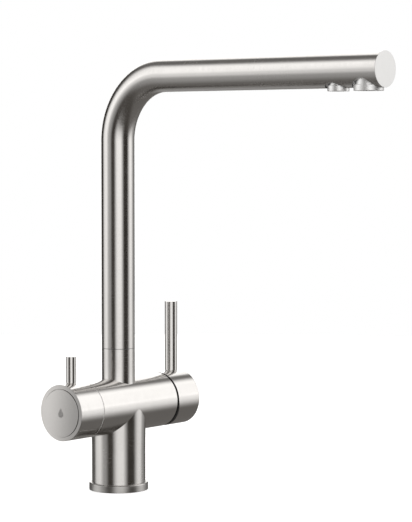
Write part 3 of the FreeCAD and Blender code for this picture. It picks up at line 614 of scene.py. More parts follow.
@dataclass
class TapBody:
    """Base ring, barrel, valve cylinder, neck and the rings at the cylinder's ends."""

    finishes: Finishes
    ring_r: float = 25.0
    ring_height: float = 6.2
    ring_gap: float = 0.05
    ring_edge: float = 0.15
    chamfer: float = 0.6
    chamfer_tilt: tuple[float, float] = (0.4, 0.95)
    ledge: float = 2.6
    well_r: float = 17.5
    groove_in: float = 20.0
    groove_out: float = 23.0
    groove_deep: float = 1.6
    barrel_r: float = 22.7
    barrel_blend: float = 0.52
    barrel_wall: float = 2.2
    barrel_level: float = 40.0
    barrel_steps: int = 8
    wall_margin: float = 0.1
    cross_r: float = 23.3
    cross_z: float = 71.6
    cross_steps: int = 12
    cross_edge: float = 0.21
    left: float = 42.7
    right: float = 49.9
    mixer_bore: float = 18.0
    filter_bore: float = 12.0
    web: float = 16.0
    tube_r: float = 14.0
    seam_z: float = 120.05
    neck_level: float = 100.0
    neck_rise: float = 1.0
    neck_steps: int = 6
    neck_bore: float = 7.5
    bore_margin: float = 1.0
    foot: float = 0.12
    foot_steps: int = 6
    foot_pitch: float = 0.1
    foot_sink: float = 0.02
    spigot_r: float = 10.5
    spigot_top: float = 149.7
    washer_top: float = 120.4
    washer_gap: float = 0.3
    washer_inset: float = 0.15
    slide_bore: float = 12.5
    slide_inset: float = 0.3
    slide_thick: float = 0.6
    trim_bore: float = 11.0
    trim_inset: float = 0.2
    trim_sink: float = 0.5
    trim_reach: float = 1.9

    def build(self) -> None:
        """Make and dress the fixed pieces."""
        self.base_ring()
        self.barrel()
        self.valve_cylinder()
        self.neck()
        self.end_rings()

    def base_ring(self) -> None:
        """Turn the base ring with its inner ledge and gasket groove, and give its chamfer a finer finish."""
        inner = self.barrel_r + self.ring_gap
        ring = Lathe.turn("base_ring_steel", Axis.UP, (0, 0, 0), [
            (0.0, self.well_r), (0.0, self.groove_in), (self.groove_deep, self.groove_in),
            (self.groove_deep, self.groove_out), (0.0, self.groove_out), (0.0, self.ring_r),
            (self.ring_height - self.chamfer, self.ring_r), (self.ring_height, self.ring_r - self.chamfer),
            (self.ring_height, inner), (self.ledge, inner), (self.ledge, self.well_r)], hollow=True)
        Lathe.finish(ring, self.ring_edge)
        Lathe.fit(ring, "tap_body", "satin_steel", self.finishes.ring, "base_ring")
        ring.data.materials.append(self.finishes.chamfer)
        low, high = self.chamfer_tilt
        for face in ring.data.polygons:
            if low < face.normal.z < high:
                face.material_index = 1

    def saddle(self, radius: float, angle: float, above: bool) -> float:
        """Height where an upright wall meets the valve cylinder.

        Args:
            radius: Radius of the upright wall.
            angle: Angle round the wall from +X.
            above: True for the upper crossing.

        Returns:
            The height in millimetres.
        """
        side = radius * math.sin(angle)
        rise = math.sqrt(max(self.cross_r ** 2 - side ** 2, 0.0))
        return self.cross_z + (rise if above else -rise)

    def seat(self, barrel: bpy.types.Object) -> None:
        """Move the barrel's top points on to the underside of the valve cylinder.

        Args:
            barrel: The turned barrel.
        """
        for point in barrel.data.vertices:
            if abs(point.co.z / MM - self.barrel_level) < NEAR:
                radius = math.hypot(point.co.x, point.co.y) / MM
                angle = math.atan2(point.co.y, point.co.x)
                if radius > self.barrel_r - self.wall_margin:
                    radius += self.barrel_blend * math.sin(angle) ** 2
                height = self.saddle(radius, angle, False)
                point.co = Vector((radius * math.cos(angle), radius * math.sin(angle), height)) * MM

    def barrel(self) -> None:
        """Turn the barrel and seat its top on the underside of the valve cylinder."""
        inner = self.barrel_r - self.barrel_wall
        tall = self.barrel_level - self.ledge
        steps = [(self.ledge + tall * n / self.barrel_steps, self.barrel_r)
                 for n in range(self.barrel_steps + 1)]
        barrel = Lathe.turn("body_barrel_steel", Axis.UP, (0, 0, 0),
                            steps + [(self.barrel_level, inner), (self.ledge, inner)], hollow=True)
        self.seat(barrel)
        Lathe.finish(barrel, 0.0)
        Lathe.fit(barrel, "tap_body", "satin_steel", self.finishes.upright, "body_barrel")

    def valve_cylinder(self) -> None:
        """Turn the valve cylinder with a blind bore at each end."""
        length = self.left + self.right
        steps = [(-self.left + length * n / self.cross_steps, self.cross_r)
                 for n in range(self.cross_steps + 1)]
        profile = [(-self.web, self.filter_bore), (-self.left, self.filter_bore)] + steps
        profile += [(self.right, self.mixer_bore), (self.web, self.mixer_bore)]
        cylinder = Lathe.turn("cross_housing_steel", Axis.RIGHT, (0, 0, self.cross_z), profile)
        Lathe.finish(cylinder, self.cross_edge)
        Lathe.fit(cylinder, "tap_body", "satin_steel", self.finishes.cross, "cross_housing")

    def neck(self) -> None:
        """Turn the neck, its spigot and the seam washer, and run the neck's foot into the valve cylinder."""
        level = self.neck_level
        start = level + self.neck_rise
        foot = [(level + self.foot_pitch * n, self.tube_r) for n in range(self.foot_steps + 1)]
        wall = [(start + (self.seam_z - start) * n / self.neck_steps, self.tube_r)
                for n in range(1, self.neck_steps + 1)]
        profile = [(level, self.neck_bore)] + foot + wall
        profile += [(self.seam_z, self.spigot_r), (self.spigot_top, self.spigot_r),
                    (self.spigot_top, self.neck_bore)]
        neck = Lathe.turn("spout_neck_steel", Axis.UP, (0, 0, 0), profile, hollow=True)
        for point in neck.data.vertices:
            above = point.co.z / MM - level
            step = round(above / self.foot_pitch)
            if abs(above - self.foot_pitch * step) > NEAR or not 0 <= step <= self.foot_steps:
                continue
            angle = math.atan2(point.co.y, point.co.x)
            if math.hypot(point.co.x, point.co.y) < (self.neck_bore + self.bore_margin) * MM:
                point.co.z = self.saddle(self.neck_bore, angle, True) * MM
                continue
            radius, height = self.foot_point(angle, step / self.foot_steps)
            point.co = Vector((radius * math.cos(angle), radius * math.sin(angle), height)) * MM
        Lathe.finish(neck, 0.0)
        Lathe.fit(neck, "tap_body", "satin_steel", self.finishes.upright, "spout_neck")
        washer = Lathe.ring("swivel_washer_ring", Axis.UP, 0.0, (self.seam_z, self.washer_top),
                            (self.spigot_r + self.washer_gap, self.tube_r - self.washer_inset))
        Lathe.fit(washer, "tap_body", "dark_nylon", self.finishes.seam, "swivel_washer")

    def foot_point(self, angle: float, share: float) -> tuple[float, float]:
        """Place a point of the radius between neck and valve cylinder.

        Args:
            angle: Angle round the neck from +X.
            share: Zero on the cylinder, one on the neck.

        Returns:
            Radius and height in millimetres.
        """
        wide = self.tube_r + self.foot
        corner = self.saddle(self.tube_r, angle, True)
        low = self.saddle(wide, angle, True) - self.foot_sink
        rest = 1.0 - share
        radius = rest * rest * wide + (1.0 - rest * rest) * self.tube_r
        height = rest * rest * low + 2.0 * share * rest * corner + share * share * (corner + self.foot)
        return radius, height

    def end_rings(self) -> None:
        """Turn the pale slide ring and the black gap ring at the ends of the valve cylinder."""
        slide = Lathe.ring("filter_slide_ring_pale", Axis.LEFT, self.cross_z,
                           (self.left, self.left + self.slide_thick),
                           (self.slide_bore, self.cross_r - self.slide_inset))
        Lathe.fit(slide, "tap_body", "pale_nylon", self.finishes.pale_nylon, "filter_slide_ring")
        low = self.right - self.trim_sink
        high = self.right + self.trim_reach
        outer = self.cross_r - self.trim_inset
        trim = Lathe.turn("mixer_trim_ring_black", Axis.RIGHT, (0, 0, self.cross_z), [
            (low, self.trim_bore), (low, self.mixer_bore), (self.right, self.mixer_bore),
            (self.right, outer), (high, outer), (high, self.trim_bore)], hollow=True)
        Lathe.finish(trim, 0.0)
        Lathe.fit(trim, "tap_body", "dark_nylon", self.finishes.dark_nylon, "mixer_trim_ring")


@dataclass(frozen=True)
class Outlet:
    """Sizes of one outlet, and how far its opening in the tube stands off its ring."""

    name: str
    out_y: float
    radius: float
    neck: float
    thread: float
    bore: float
    recess: float

    def opening(self) -> float:
        """Return the radius of its opening in the tube."""
        return self.radius + self.recess


@dataclass
class Spout:
    """L-shaped swivel spout with its end disc and the two outlets."""

    finishes: Finishes
    tube_r: float = 14.0
    wall: float = 1.2
    low: float = 120.45
    height: float = 349.2
    bend: float = 54.0
    reach: float = 272.7
    sides: int = 128
    column_steps: int = 40
    bend_steps: int = 40
    arm_steps: int = 90
    merge: float = 0.001
    bore_spare: float = 1.0
    cap: float = 0.35
    cap_deep: float = 3.0
    cap_edge: float = 0.1
    cap_inset: float = 1.0
    drop: float = 16.2
    ring: float = 4.4
    ring_gap: float = 0.2
    ring_edge: float = 0.18
    lip: float = 1.0
    socket_seat: float = 0.8
    socket_top: float = 4.5
    socket_edge: float = 0.2
    opening_start: float = 2.0
    opening_band: float = 0.05
    opening_facing: float = 0.9
    uv_length: float = 400.0
    outlets: tuple[Outlet, ...] = (
        Outlet("main", out_y=257.4, radius=11.6, neck=10.3, thread=9.0, bore=7.8, recess=1.0),
        Outlet("filter", out_y=229.0, radius=8.5, neck=7.6, thread=6.1, bore=5.0, recess=1.8))

    def build(self) -> None:
        """Make and dress the spout's pieces."""
        self.tube()
        self.end_disc()
        for outlet in self.outlets:
            self.outlet(outlet)

    def bent_bar(self, name: str, radius: float, spare: float) -> bpy.types.Object:
        """Run a round bar up the column, round the bend and out along the spout.

        Args:
            name: Name of the bar.
            radius: Its radius.
            spare: How far it runs past both ends of the tube.

        Returns:
            The closed bar.
        """
        Lathe.deselect()
        bottom = self.low - spare
        turn_z = self.height - self.bend
        out_y = self.reach - self.cap + spare
        bpy.ops.mesh.primitive_circle_add(vertices=self.sides, radius=radius * MM,
                                          location=(0, 0, bottom * MM))
        bar = bpy.context.object
        bar.name = name
        bpy.ops.object.transform_apply(location=True, rotation=True, scale=True)
        bpy.ops.object.mode_set(mode="EDIT")
        bpy.ops.mesh.select_all(action="SELECT")
        bpy.ops.mesh.edge_face_add()
        bpy.ops.mesh.select_all(action="SELECT")
        rise = (0, 0, (turn_z - bottom) / self.column_steps * MM)
        for _ in range(self.column_steps):
            bpy.ops.mesh.extrude_region_move(TRANSFORM_OT_translate={"value": rise})
        bpy.ops.mesh.spin(steps=self.bend_steps, angle=-math.pi / 2,
                          center=(0, -self.bend * MM, turn_z * MM), axis=(1, 0, 0))
        ahead = (0, -(out_y - self.bend) / self.arm_steps * MM, 0)
        for _ in range(self.arm_steps):
            bpy.ops.mesh.extrude_region_move(TRANSFORM_OT_translate={"value": ahead})
        bpy.ops.mesh.select_all(action="SELECT")
        bpy.ops.mesh.remove_doubles(threshold=self.merge * MM)
        bpy.ops.mesh.normals_make_consistent(inside=False)
        bpy.ops.object.mode_set(mode="OBJECT")
        return bar

    def tube(self) -> None:
        """Make the hollow tube with the two openings under its end."""
        tube = self.bent_bar("spout_tube_steel", self.tube_r, 0.0)
        under = self.height - self.tube_r - self.opening_start
        tools = [self.bent_bar("tube_bore", self.tube_r - self.wall, self.bore_spare)]
        for outlet in self.outlets:
            tools.append(Lathe.turn(outlet.name + "_opening", Axis.UP, (0, -outlet.out_y, 0),
                                    [(under, outlet.opening()), (self.height, outlet.opening())]))
        Lathe.cut(tube, tools)
        self.straighten(tube)
        self.unwrap(tube)
        Lathe.finish(tube, 0.0)
        Lathe.fit(tube, "spout", "satin_steel", self.finishes.tube, "spout_tube")
        self.paint_opening_shadow(tube)

    def paint_opening_shadow(self, tube: bpy.types.Object) -> None:
        """Paint shadow on the walls of the two openings with the near-black colour.

        Args:
            tube: The dressed tube.
        """
        tube.data.materials.append(self.finishes.relief)
        for face in tube.data.polygons:
            for outlet in self.outlets:
                inward = Vector((0, -outlet.out_y * MM, face.center.z)) - face.center
                on_wall = abs(inward.length - outlet.opening() * MM) < self.opening_band * MM
                if on_wall and inward.normalized().dot(face.normal) > self.opening_facing:
                    face.material_index = 1

    def straighten(self, tube: bpy.types.Object) -> None:
        """Store each point's place on the tube as if it were straight, for the grain.

        Args:
            tube: The bent tube.
        """
        places = tube.data.attributes.new("straightened", "FLOAT_VECTOR", "POINT")
        turn_z = (self.height - self.bend) * MM
        bend = self.bend * MM
        for point, place in zip(tube.data.vertices, places.data):
            x, y, z = point.co
            up = z - turn_z
            back = y + bend
            if up <= 0:
                place.vector = (x, y, up)
            elif back <= 0:
                place.vector = (x, up - bend, bend * math.pi / 2 - back)
            else:
                place.vector = (x, math.hypot(up, back) - bend, bend * math.atan2(up, back))

    def unwrap(self, tube: bpy.types.Object) -> None:
        """Lay a UV map with U round the tube and V along it.

        Args:
            tube: The tube with its straightened places.
        """
        mesh = tube.data
        sheet = mesh.uv_layers.new(name="straightened_uv")
        places = mesh.attributes["straightened"].data
        for face in mesh.polygons:
            first = None
            for loop in face.loop_indices:
                x, y, along = places[mesh.loops[loop].vertex_index].vector
                angle = math.atan2(y, x)
                if first is None:
                    first = angle
                angle = first + math.remainder(angle - first, 2.0 * math.pi)
                sheet.data[loop].uv = (angle * self.tube_r / self.uv_length + 0.5,
                                       along / (self.uv_length * MM) + 0.5)

    def end_disc(self) -> None:
        """Turn the flat disc that closes the spout."""
        inner = self.tube_r - self.wall
        back = self.reach - self.cap
        disc = Lathe.turn("spout_end_disc", Axis.FRONT, (0, 0, self.height), [
            (self.reach - self.cap_deep, inner), (back, inner), (back, self.tube_r),
            (self.reach, self.tube_r), (self.reach, self.tube_r - self.cap_inset)])
        Lathe.finish(disc, self.cap_edge)
        Lathe.fit(disc, "spout", "satin_steel_face", self.finishes.spout_face, "spout_end_cap")

    def outlet(self, sizes: Outlet) -> None:
        """Make one outlet: its socket and the screwed ring under it.

        Args:
            sizes: The outlet's sizes.
        """
        at = (0, -sizes.out_y, self.height - self.drop)
        low = self.lip + self.socket_seat
        top = self.drop - self.socket_top
        socket = Lathe.turn(sizes.name + "_socket_steel", Axis.UP, at, [
            (low, sizes.bore), (low, sizes.thread), (self.ring, sizes.thread), (self.ring, sizes.neck),
            (top, sizes.neck), (top, sizes.bore)], hollow=True)
        Lathe.finish(socket, self.socket_edge)
        Lathe.fit(socket, "spout", "outlet_steel", self.finishes.outlet, sizes.name + "_outlet_socket")
        inner = sizes.bore + self.ring_gap
        ring = Lathe.turn(sizes.name + "_ring_steel", Axis.UP, at, [
            (0.0, inner), (0.0, sizes.radius), (self.ring, sizes.radius), (self.ring, sizes.thread),
            (self.lip, sizes.thread), (self.lip, inner)], hollow=True)
        Lathe.finish(ring, self.ring_edge)
        Lathe.fit(ring, "spout", "outlet_steel", self.finishes.outlet, sizes.name + "_aerator_housing")


@dataclass
class PinLever:
    """A plain round pin with a narrow screwed foot."""

    x: float
    radius: float
    thread: float
    low: float
    seat: float
    foot: float
    top: float
    waist: float = 0.45
    sink: float = 0.8
    edge: float = 0.35
    sharp: float = 30.0

    def build(self, name: str) -> bpy.types.Object:
        """Turn the pin.

        Args:
            name: Name of the piece.

        Returns:
            The finished pin.
        """
        narrow = self.radius - self.waist
        pin = Lathe.turn(name, Axis.UP, (self.x, 0, 0), [
            (self.low, self.thread), (self.seat - self.sink, self.thread), (self.seat - self.sink, narrow),
            (self.seat, narrow), (self.seat + self.foot, self.radius), (self.top, self.radius)])
        Lathe.finish(pin, self.edge, self.sharp)
        return pin


@dataclass
class EndFace:
    """End of a handle: a thin rim round a slightly raised, crowned disc."""

    rim_r: float
    disc_r: float
    inner: float
    end: float
    proud: float
    rim: float = 0.2
    rim_edge: float = 0.1
    wall: float = 0.2
    groove: float = 0.3
    deep: float = 0.9
    offset: float = 0.18
    crown: float = 0.12
    disc_edge: float = 0.12
    crown_shares: tuple[float, ...] = (0.9, 0.75, 0.6, 0.45, 0.3, 0.15, 0.03)

    def build(self, name: str, axis: Axis, height: float) -> bpy.types.Object:
        """Turn the face.

        Args:
            name: Name of the piece.
            axis: Way that the face looks.
            height: Height of the valve axis.

        Returns:
            The finished face.
        """
        outer = self.end + self.proud
        edge = outer - self.crown
        outside = self.disc_r + self.groove
        floor = self.end - self.deep
        back = floor - self.wall
        points = [(self.inner, self.disc_r), (back, self.disc_r), (back, outside + self.wall),
                  (self.end - self.rim, outside + self.wall), (self.end - self.rim, self.rim_r),
                  (self.end - self.rim_edge, self.rim_r), (self.end, self.rim_r - self.rim_edge),
                  (self.end, outside), (floor, outside), (floor, self.disc_r),
                  (edge - self.disc_edge, self.disc_r), (edge, self.disc_r - self.disc_edge)]
        for share in self.crown_shares:
            points.append((outer - self.crown * share * share, self.disc_r * share))
        face = Lathe.turn(name, axis, (0, 0, height), points)
        shift = Vector((0.0, self.offset * MM, -self.offset * MM))
        for point in face.data.vertices:
            if math.hypot(point.co.y, point.co.z - height * MM) < (self.disc_r + NEAR) * MM:
                point.co += shift
        Lathe.finish(face, 0.0)
        return face


@dataclass
class Handle:
    """What both handles have: a sleeve, an end face and a pin lever."""

    finishes: Finishes
    name: str = ""
    body: str = ""
    axis: Axis = Axis.RIGHT
    axis_z: float = 71.6
    radius: float = 23.3
    bore: float = 20.0
    start: float = 0.0
    end: float = 0.0
    hub_start: float = 0.0
    hub_end: float = 0.0
    hub_bore: float = 0.0
    face_r: float = 19.7
    face_gap: float = 0.7
    proud: float = 0.5
    rim: float = 0.2
    edge: float = 0.1
    pin_x: float = 0.0
    pin_r: float = 0.0
    pin_top: float = 0.0
    pin_foot: float = 0.6
    pin_thread: float = 0.0
    pin_low: float = 0.0

    def build(self) -> None:
        """Make and dress the handle's pieces."""
        rim = self.end - self.rim
        seat = self.face_r + self.face_gap
        sleeve = Lathe.turn(self.name + "_sleeve_steel", self.axis, (0, 0, self.axis_z), [
            (self.start, self.bore), (self.start, self.radius), (rim, self.radius), (rim, seat),
            (self.hub_end, seat), (self.hub_end, self.hub_bore), (self.hub_start, self.hub_bore),
            (self.hub_start, self.bore)], hollow=True)
        self.cut_sleeve(sleeve)
        Lathe.finish(sleeve, self.edge)
        Lathe.fit(sleeve, self.body, "satin_steel", self.finishes.cross, self.name + "_handle_sleeve")
        self.paint_sleeve_shadow(sleeve)
        face = EndFace(self.radius, self.face_r, self.hub_end, self.end, self.proud).build(
            self.name + "_end_face", self.axis, self.axis_z)
        Lathe.fit(face, self.body, "satin_steel_face", self.finishes.handle_face,
                  self.name + "_handle_end_cap")
        pin = PinLever(self.pin_x, self.pin_r, self.pin_thread, self.pin_low, self.axis_z + self.radius,
                       self.pin_foot, self.pin_top).build(self.name + "_pin_steel")
        Lathe.fit(pin, self.body, "pin_steel", self.finishes.pin, self.name + "_lever_pin")

    def cut_sleeve(self, sleeve: bpy.types.Object) -> None:
        """Leave the sleeve whole; a handle with a relief cuts it here."""

    def paint_sleeve_shadow(self, sleeve: bpy.types.Object) -> None:
        """Leave the sleeve in one finish; a handle with a relief paints shadow on it here."""


@dataclass
class MixerHandle(Handle):
    """Mixer handle, with the relief at its lower inner edge that lets it tilt."""

    name: str = "mixer"
    body: str = "mixer_lever"
    start: float = 52.1
    end: float = 79.1
    hub_start: float = 60.0
    hub_end: float = 75.6
    hub_bore: float = 8.0
    pin_x: float = 68.3
    pin_r: float = 5.4
    pin_top: float = 155.8
    pin_thread: float = 3.2
    pin_low: float = 75.6
    relief: float = 9.6
    relief_facing: float = 0.9995
    wedge: tuple[float, float, float] = (30.0, 60.0, 40.0)

    def cut_sleeve(self, sleeve: bpy.types.Object) -> None:
        """Cut the relief with a turned block.

        Args:
            sleeve: The turned sleeve.
        """
        Lathe.deselect()
        bpy.ops.mesh.primitive_cube_add(size=1.0, location=(-0.5, 0, -0.5))
        wedge = bpy.context.object
        bpy.ops.object.transform_apply(location=True, rotation=True, scale=True)
        wedge.data.transform(Matrix.Diagonal((*[side * MM for side in self.wedge], 1)))
        turn = Matrix.Rotation(math.radians(-self.relief), 4, "Y")
        wedge.data.transform(Matrix.Translation((self.start * MM, 0, self.axis_z * MM)) @ turn)
        Lathe.cut(sleeve, [wedge])

    def paint_sleeve_shadow(self, sleeve: bpy.types.Object) -> None:
        """Paint shadow on the cut face of the relief with the near-black colour.

        Args:
            sleeve: The dressed sleeve.
        """
        # Painted shadow on the relief's cut face.
        sleeve.data.materials.append(self.finishes.relief)
        lean = math.radians(self.relief)
        way = Vector((-math.cos(lean), 0.0, -math.sin(lean)))
        for side in sleeve.data.polygons:
            if side.normal.dot(way) > self.relief_facing:
                side.material_index = 1


@dataclass
class FilterHandle(Handle):
    """Filtered water handle with its short pin."""

    name: str = "filter"
    body: str = "filter_handle"
    axis: Axis = Axis.LEFT
    start: float = 43.35
    end: float = 70.1
    hub_start: float = 50.0
    hub_end: float = 66.5
    hub_bore: float = 5.0
    pin_x: float = -58.0
    pin_r: float = 4.2
    pin_top: float = 117.4
    pin_thread: float = 2.4
    pin_low: float = 79.6


@dataclass
class InnerPieces:
    """CAD nodes that keep their shape and only get a finish."""

    finishes: Finishes
    sharp: float = 30.0
    plan: dict[str, str] = field(default_factory=lambda: {
        "black_rubber": "rubber", "brass": "brass", "dark_nylon": "dark_nylon", "pale_nylon": "pale_nylon",
        "cartridge_plastic": "cartridge", "riser_plastic": "riser", "aerator_plastic": "spray",
        "valve_ceramic": "ceramic", "mark_grey": "mark", "screw_steel": "screw", "satin_steel": "upright",
        "satin_steel_face": "handle_face", "pin_steel": "pin", "outlet_steel": "outlet"})

    def build(self) -> None:
        """Dress every CAD node by its slot."""
        for entry in frame["record"]["subparts"]:
            node = frame["nodes"][entry["node"]]
            node.data.materials.clear()
            node.data.materials.append(getattr(self.finishes, self.plan[entry["material_slot"]]))
            Lathe.choose(node)
            bpy.ops.object.shade_smooth_by_angle(angle=math.radians(self.sharp))


@dataclass
class StudioLight:
    """Light and dark panels all round the tap, which the camera sees as plain white."""

    toward: Vector
    right: Vector
    brightest: float = 2.0
    sky: float = 1.84
    sky_right: float = 1.74
    gap: float = 0.26
    ceiling: float = 0.10
    under: float = 0.18
    under_left: float = 3.0
    under_back: float = 2.4
    under_front: float = 0.4
    white: Colour = (1.0, 0.994, 0.985)
    warmth: Colour = (0.14, -0.02, -0.18)
    warm_power: int = 14
    panels: list[tuple[float, float]] = field(default_factory=lambda: [
        (-180.0, 1.60), (-170.0, 1.60), (-163.0, 0.03), (-127.0, 0.03), (-109.0, 1.22), (-87.0, 1.42),
        (-70.0, 0.58), (-55.0, 0.44), (-43.0, 0.05), (-27.0, 0.05), (-9.0, 1.18), (0.0, 1.36), (20.0, 1.34),
        (42.0, 0.036), (69.0, 0.03), (82.0, 0.92), (91.0, 1.38), (106.0, 1.42), (121.0, 0.58), (137.0, 0.36),
        (150.0, 0.03), (164.0, 0.03), (171.0, 1.60), (180.0, 1.60)])
    spans: dict[str, Span] = field(default_factory=lambda: {
        "behind": (0.05, 0.30, 1.0, 0.0),
        "left_gap_in": (-0.41, -0.28, 1.0, 0.0),
        "left_gap_out": (-0.85, -0.61, 0.0, 1.0),
        "right_gap_in": (0.25, 0.41, 0.0, 1.0),
        "right_gap_out": (0.48, 0.71, 1.0, 0.0),
        "sky_right": (0.50, 0.70, 0.0, 1.0),
        "ceiling": (0.82, 0.94, 0.0, 1.0),
        "panel_gain": (-0.04, 0.18, 1.0, 1.38),
        "panel_top": (0.08, 0.24, 0.0, 0.14),
        "sky_left": (-0.96, -0.80, 0.26, 0.0),
        "sky_front": (0.15, 0.45, 0.0, 0.40),
        "sky": (0.34, 0.58, 0.0, 1.0),
        "dim_rise": (0.05, 0.30, 0.0, 1.0),
        "dim_near": (-0.17, 0.08, 0.26, 0.0),
        "dim_side": (-0.55, -0.25, 1.0, 0.0),
        "deck_left": (-1.0, -0.58, 1.0, 0.0),
        "deck_back": (-0.8, -0.5, 1.0, 0.0),
        "deck_back_side": (-0.1, 0.05, 1.0, 0.0),
        "deck_front": (0.2, 0.5, 0.0, 1.0),
        "low_right": (0.3, 0.7, 0.0, 1.0),
        "low_front": (0.2, 0.6, 0.0, 0.10),
        "low_steep": (-0.36, -0.06, 1.0, 0.0),
        "low_slow": (-0.48, -0.01, 1.0, 0.0)})

    def build(self) -> None:
        """Make the world."""
        made = bpy.data.worlds.new("studio")
        bpy.context.scene.world = made
        made.use_nodes = True
        self.bench = NodeBench(made.node_tree)
        self.where = self.bench.add("TexCoord").outputs["Generated"]
        self.side = self.along(self.right)
        self.near = self.along(self.toward)
        split = self.bench.add("SeparateXYZ")
        self.bench.link(self.where, split.inputs[0])
        self.rise = split.outputs["Z"]
        panels = self.bench.add("Background")
        light = self.bench.mix(self.lowness(), self.upper(), self.deck())
        self.bench.link(light, panels.inputs["Color"])
        panels.inputs["Strength"].default_value = self.brightest
        plain = self.bench.add("Background")
        plain.inputs["Color"].default_value = (1.0, 1.0, 1.0, 1.0)
        seen = self.bench.add("LightPath").outputs["Is Camera Ray"]
        picked = self.bench.choose(seen, panels, plain)
        self.bench.link(picked.outputs[0], self.bench.add("OutputWorld").inputs["Surface"])

    def along(self, direction: Vector) -> bpy.types.NodeSocket:
        """Measure how far a ray goes along a direction.

        Args:
            direction: The direction.

        Returns:
            The socket, from minus one to one.
        """
        dot = self.bench.add("VectorMath", operation="DOT_PRODUCT")
        self.bench.link(self.where, dot.inputs[0])
        dot.inputs[1].default_value = direction
        return dot.outputs["Value"]

    def tone(self, level: float) -> tuple[float, float, float, float]:
        """Turn a light level into a colour below one, warmer where it is darker."""
        share = level / self.brightest
        dark = (1.0 - share) ** self.warm_power
        return (*[share * (plain + warm * dark) for plain, warm in zip(self.white, self.warmth)], 1.0)

    def part(self, value: bpy.types.NodeSocket, name: str) -> bpy.types.NodeSocket:
        """Map a value by a named span."""
        return self.bench.span(value, *self.spans[name])

    def both(self, first: bpy.types.NodeSocket, second: bpy.types.NodeSocket) -> bpy.types.NodeSocket:
        """Multiply two shares."""
        return self.bench.math("MULTIPLY", first, second)

    def panel_ring(self) -> bpy.types.NodeSocket:
        """Lay the panels round the horizon.

        Returns:
            Their colour socket.
        """
        share = self.bench.add("MapRange")
        self.bench.link(self.bench.math("ARCTAN2", self.side, self.near), share.inputs["Value"])
        share.inputs["From Min"].default_value = -math.pi
        share.inputs["From Max"].default_value = math.pi
        ramp = self.bench.add("ValToRGB")
        self.bench.link(share.outputs["Result"], ramp.inputs["Fac"])
        stops = ramp.color_ramp.elements
        while len(stops) > 1:
            stops.remove(stops[-1])
        for index, (angle, level) in enumerate(self.panels):
            place = (angle + 180.0) / 360.0
            stop = stops[0] if index == 0 else stops.new(place)
            stop.position = place
            stop.color = self.tone(level)
        return ramp.outputs["Color"]

    def upper(self) -> bpy.types.NodeSocket:
        """Join the panels, the bright sky with its two gaps and the dark ceiling.

        Returns:
            The colour socket of what is above the deck.
        """
        bench = self.bench
        left = self.both(self.part(self.side, "left_gap_in"), self.part(self.side, "left_gap_out"))
        right = self.both(self.part(self.side, "right_gap_in"), self.part(self.side, "right_gap_out"))
        opening = self.both(bench.math("ADD", left, right), self.part(self.near, "behind"))
        sky = bench.mix(self.part(self.side, "sky_right"), self.tone(self.sky), self.tone(self.sky_right))
        sky = bench.mix(opening, sky, self.tone(self.gap))
        sky = bench.mix(self.part(self.rise, "ceiling"), sky, self.tone(self.ceiling))
        topped = self.both(self.part(self.rise, "panel_top"), self.part(self.side, "sky_right"))
        gain = bench.math("SUBTRACT", self.part(self.rise, "panel_gain"), topped)
        panels = bench.scaled(self.panel_ring(), gain)
        lifted = bench.math("ADD", self.rise, self.part(self.side, "sky_left"))
        lifted = bench.math("SUBTRACT", lifted, self.part(self.near, "sky_front"))
        level = bench.mix(self.part(lifted, "sky"), panels, sky)
        dim = self.both(self.part(self.rise, "dim_rise"), self.part(self.near, "dim_near"))
        dim = self.both(dim, self.part(self.side, "dim_side"))
        return bench.mix(dim, level, self.tone(0.0))

    def deck(self) -> bpy.types.NodeSocket:
        """Colour what the steel sees below the horizon.

        Returns:
            The colour socket.
        """
        bench = self.bench
        back = self.both(self.part(self.near, "deck_back"), self.part(self.side, "deck_back_side"))
        deck = bench.mix(self.part(self.side, "deck_left"), self.tone(self.under),
                         self.tone(self.under * self.under_left))
        deck = bench.mix(back, deck, self.tone(self.under * self.under_back))
        return bench.mix(self.part(self.near, "deck_front"), deck, self.tone(self.under * self.under_front))

    def lowness(self) -> bpy.types.NodeSocket:
        """Share of the deck, which fades in more slowly on the right.

        Returns:
            The share socket.
        """
        bench = self.bench
        nearer = bench.math("ADD", self.rise, self.part(self.near, "low_front"))
        steep = self.part(nearer, "low_steep")
        slow = bench.math("SUBTRACT", self.part(self.rise, "low_slow"), steep)
        return bench.math("ADD", steep, self.both(slow, self.part(self.side, "low_right")))


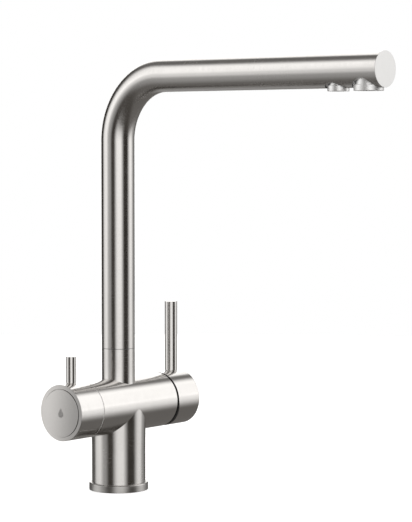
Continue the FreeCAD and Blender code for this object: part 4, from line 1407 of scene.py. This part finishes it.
@dataclass
class Studio:
    """White studio: light, floor and the camera of the photograph."""

    azimuth: float = -47.77
    yaw: float = -2.48
    pitch: float = 3.31
    distance: float = 1.71587
    height: float = 0.29292
    focal_px: float = 2032.14
    frame_height_px: float = 522.0
    sensor: float = 36.0
    view_end: float = 50.0
    floor_sides: int = 96
    floor_r: float = 1.4
    floor_z: float = -0.0002
    floor_pale: float = 0.80
    floor_glow: float = 0.62

    def build(self) -> None:
        """Set up the light, the floor and the camera."""
        bpy.context.scene.view_settings.view_transform = "Standard"
        toward, right = self.directions()
        StudioLight(toward, right).build()
        self.floor()
        self.camera(toward)

    def directions(self) -> tuple[Vector, Vector]:
        """Return the level direction to the camera and the one to its right."""
        turn = math.radians(self.azimuth)
        return Vector((math.sin(turn), -math.cos(turn), 0.0)), Vector((math.cos(turn), math.sin(turn), 0.0))

    def floor(self) -> None:
        """Lay a plain pale floor that reads as white, keeps a faint shadow and is clear to the steel."""
        Lathe.deselect()
        bpy.ops.mesh.primitive_circle_add(vertices=self.floor_sides, radius=self.floor_r,
                                          location=(0, 0, self.floor_z), fill_type="NGON")
        floor = bpy.context.object
        floor.name = "studio_floor"
        bpy.ops.object.transform_apply(location=True, rotation=True, scale=True)
        made = bpy.data.materials.new("floor_pale")
        made.use_nodes = True
        bench = NodeBench(made.node_tree)
        pale = bench.add("BsdfDiffuse")
        pale.inputs["Color"].default_value = (self.floor_pale, self.floor_pale, self.floor_pale, 1.0)
        glow = bench.add("Emission")
        glow.inputs["Strength"].default_value = self.floor_glow
        both = bench.add("AddShader")
        bench.link(pale.outputs[0], both.inputs[0])
        bench.link(glow.outputs[0], both.inputs[1])
        path = bench.add("LightPath")
        seen = bench.choose(path.outputs["Is Camera Ray"], pale, both)
        mirrored = bench.choose(path.outputs["Is Glossy Ray"], seen, bench.add("BsdfTransparent"))
        bench.link(mirrored.outputs[0], bench.add("OutputMaterial").inputs["Surface"])
        floor.data.materials.append(made)

    def camera(self, toward: Vector) -> None:
        """Place the camera at the photograph's viewpoint.

        Args:
            toward: The level direction from the tap to the camera.
        """
        eye = toward * self.distance + Vector((0, 0, self.height))
        turn = math.radians(self.azimuth + self.yaw)
        lean = math.radians(self.pitch)
        ahead = Vector((-math.sin(turn) * math.cos(lean), math.cos(turn) * math.cos(lean), -math.sin(lean)))
        Lathe.deselect()
        bpy.ops.object.camera_add(location=eye, rotation=ahead.to_track_quat("-Z", "Y").to_euler())
        camera = bpy.context.object
        camera.data.sensor_fit = "VERTICAL"
        camera.data.sensor_height = self.sensor
        camera.data.lens = self.focal_px * self.sensor / self.frame_height_px
        camera.data.clip_end = self.view_end
        bpy.context.scene.camera = camera


def main() -> None:
    """Build the tap's looks and the studio."""
    logging.basicConfig(level=logging.INFO)
    finishes = Finishes()
    InnerPieces(finishes).build()
    for part in (TapBody, Spout, MixerHandle, FilterHandle):
        part(finishes).build()
    Studio().build()


if __name__ == "__main__":
    main()
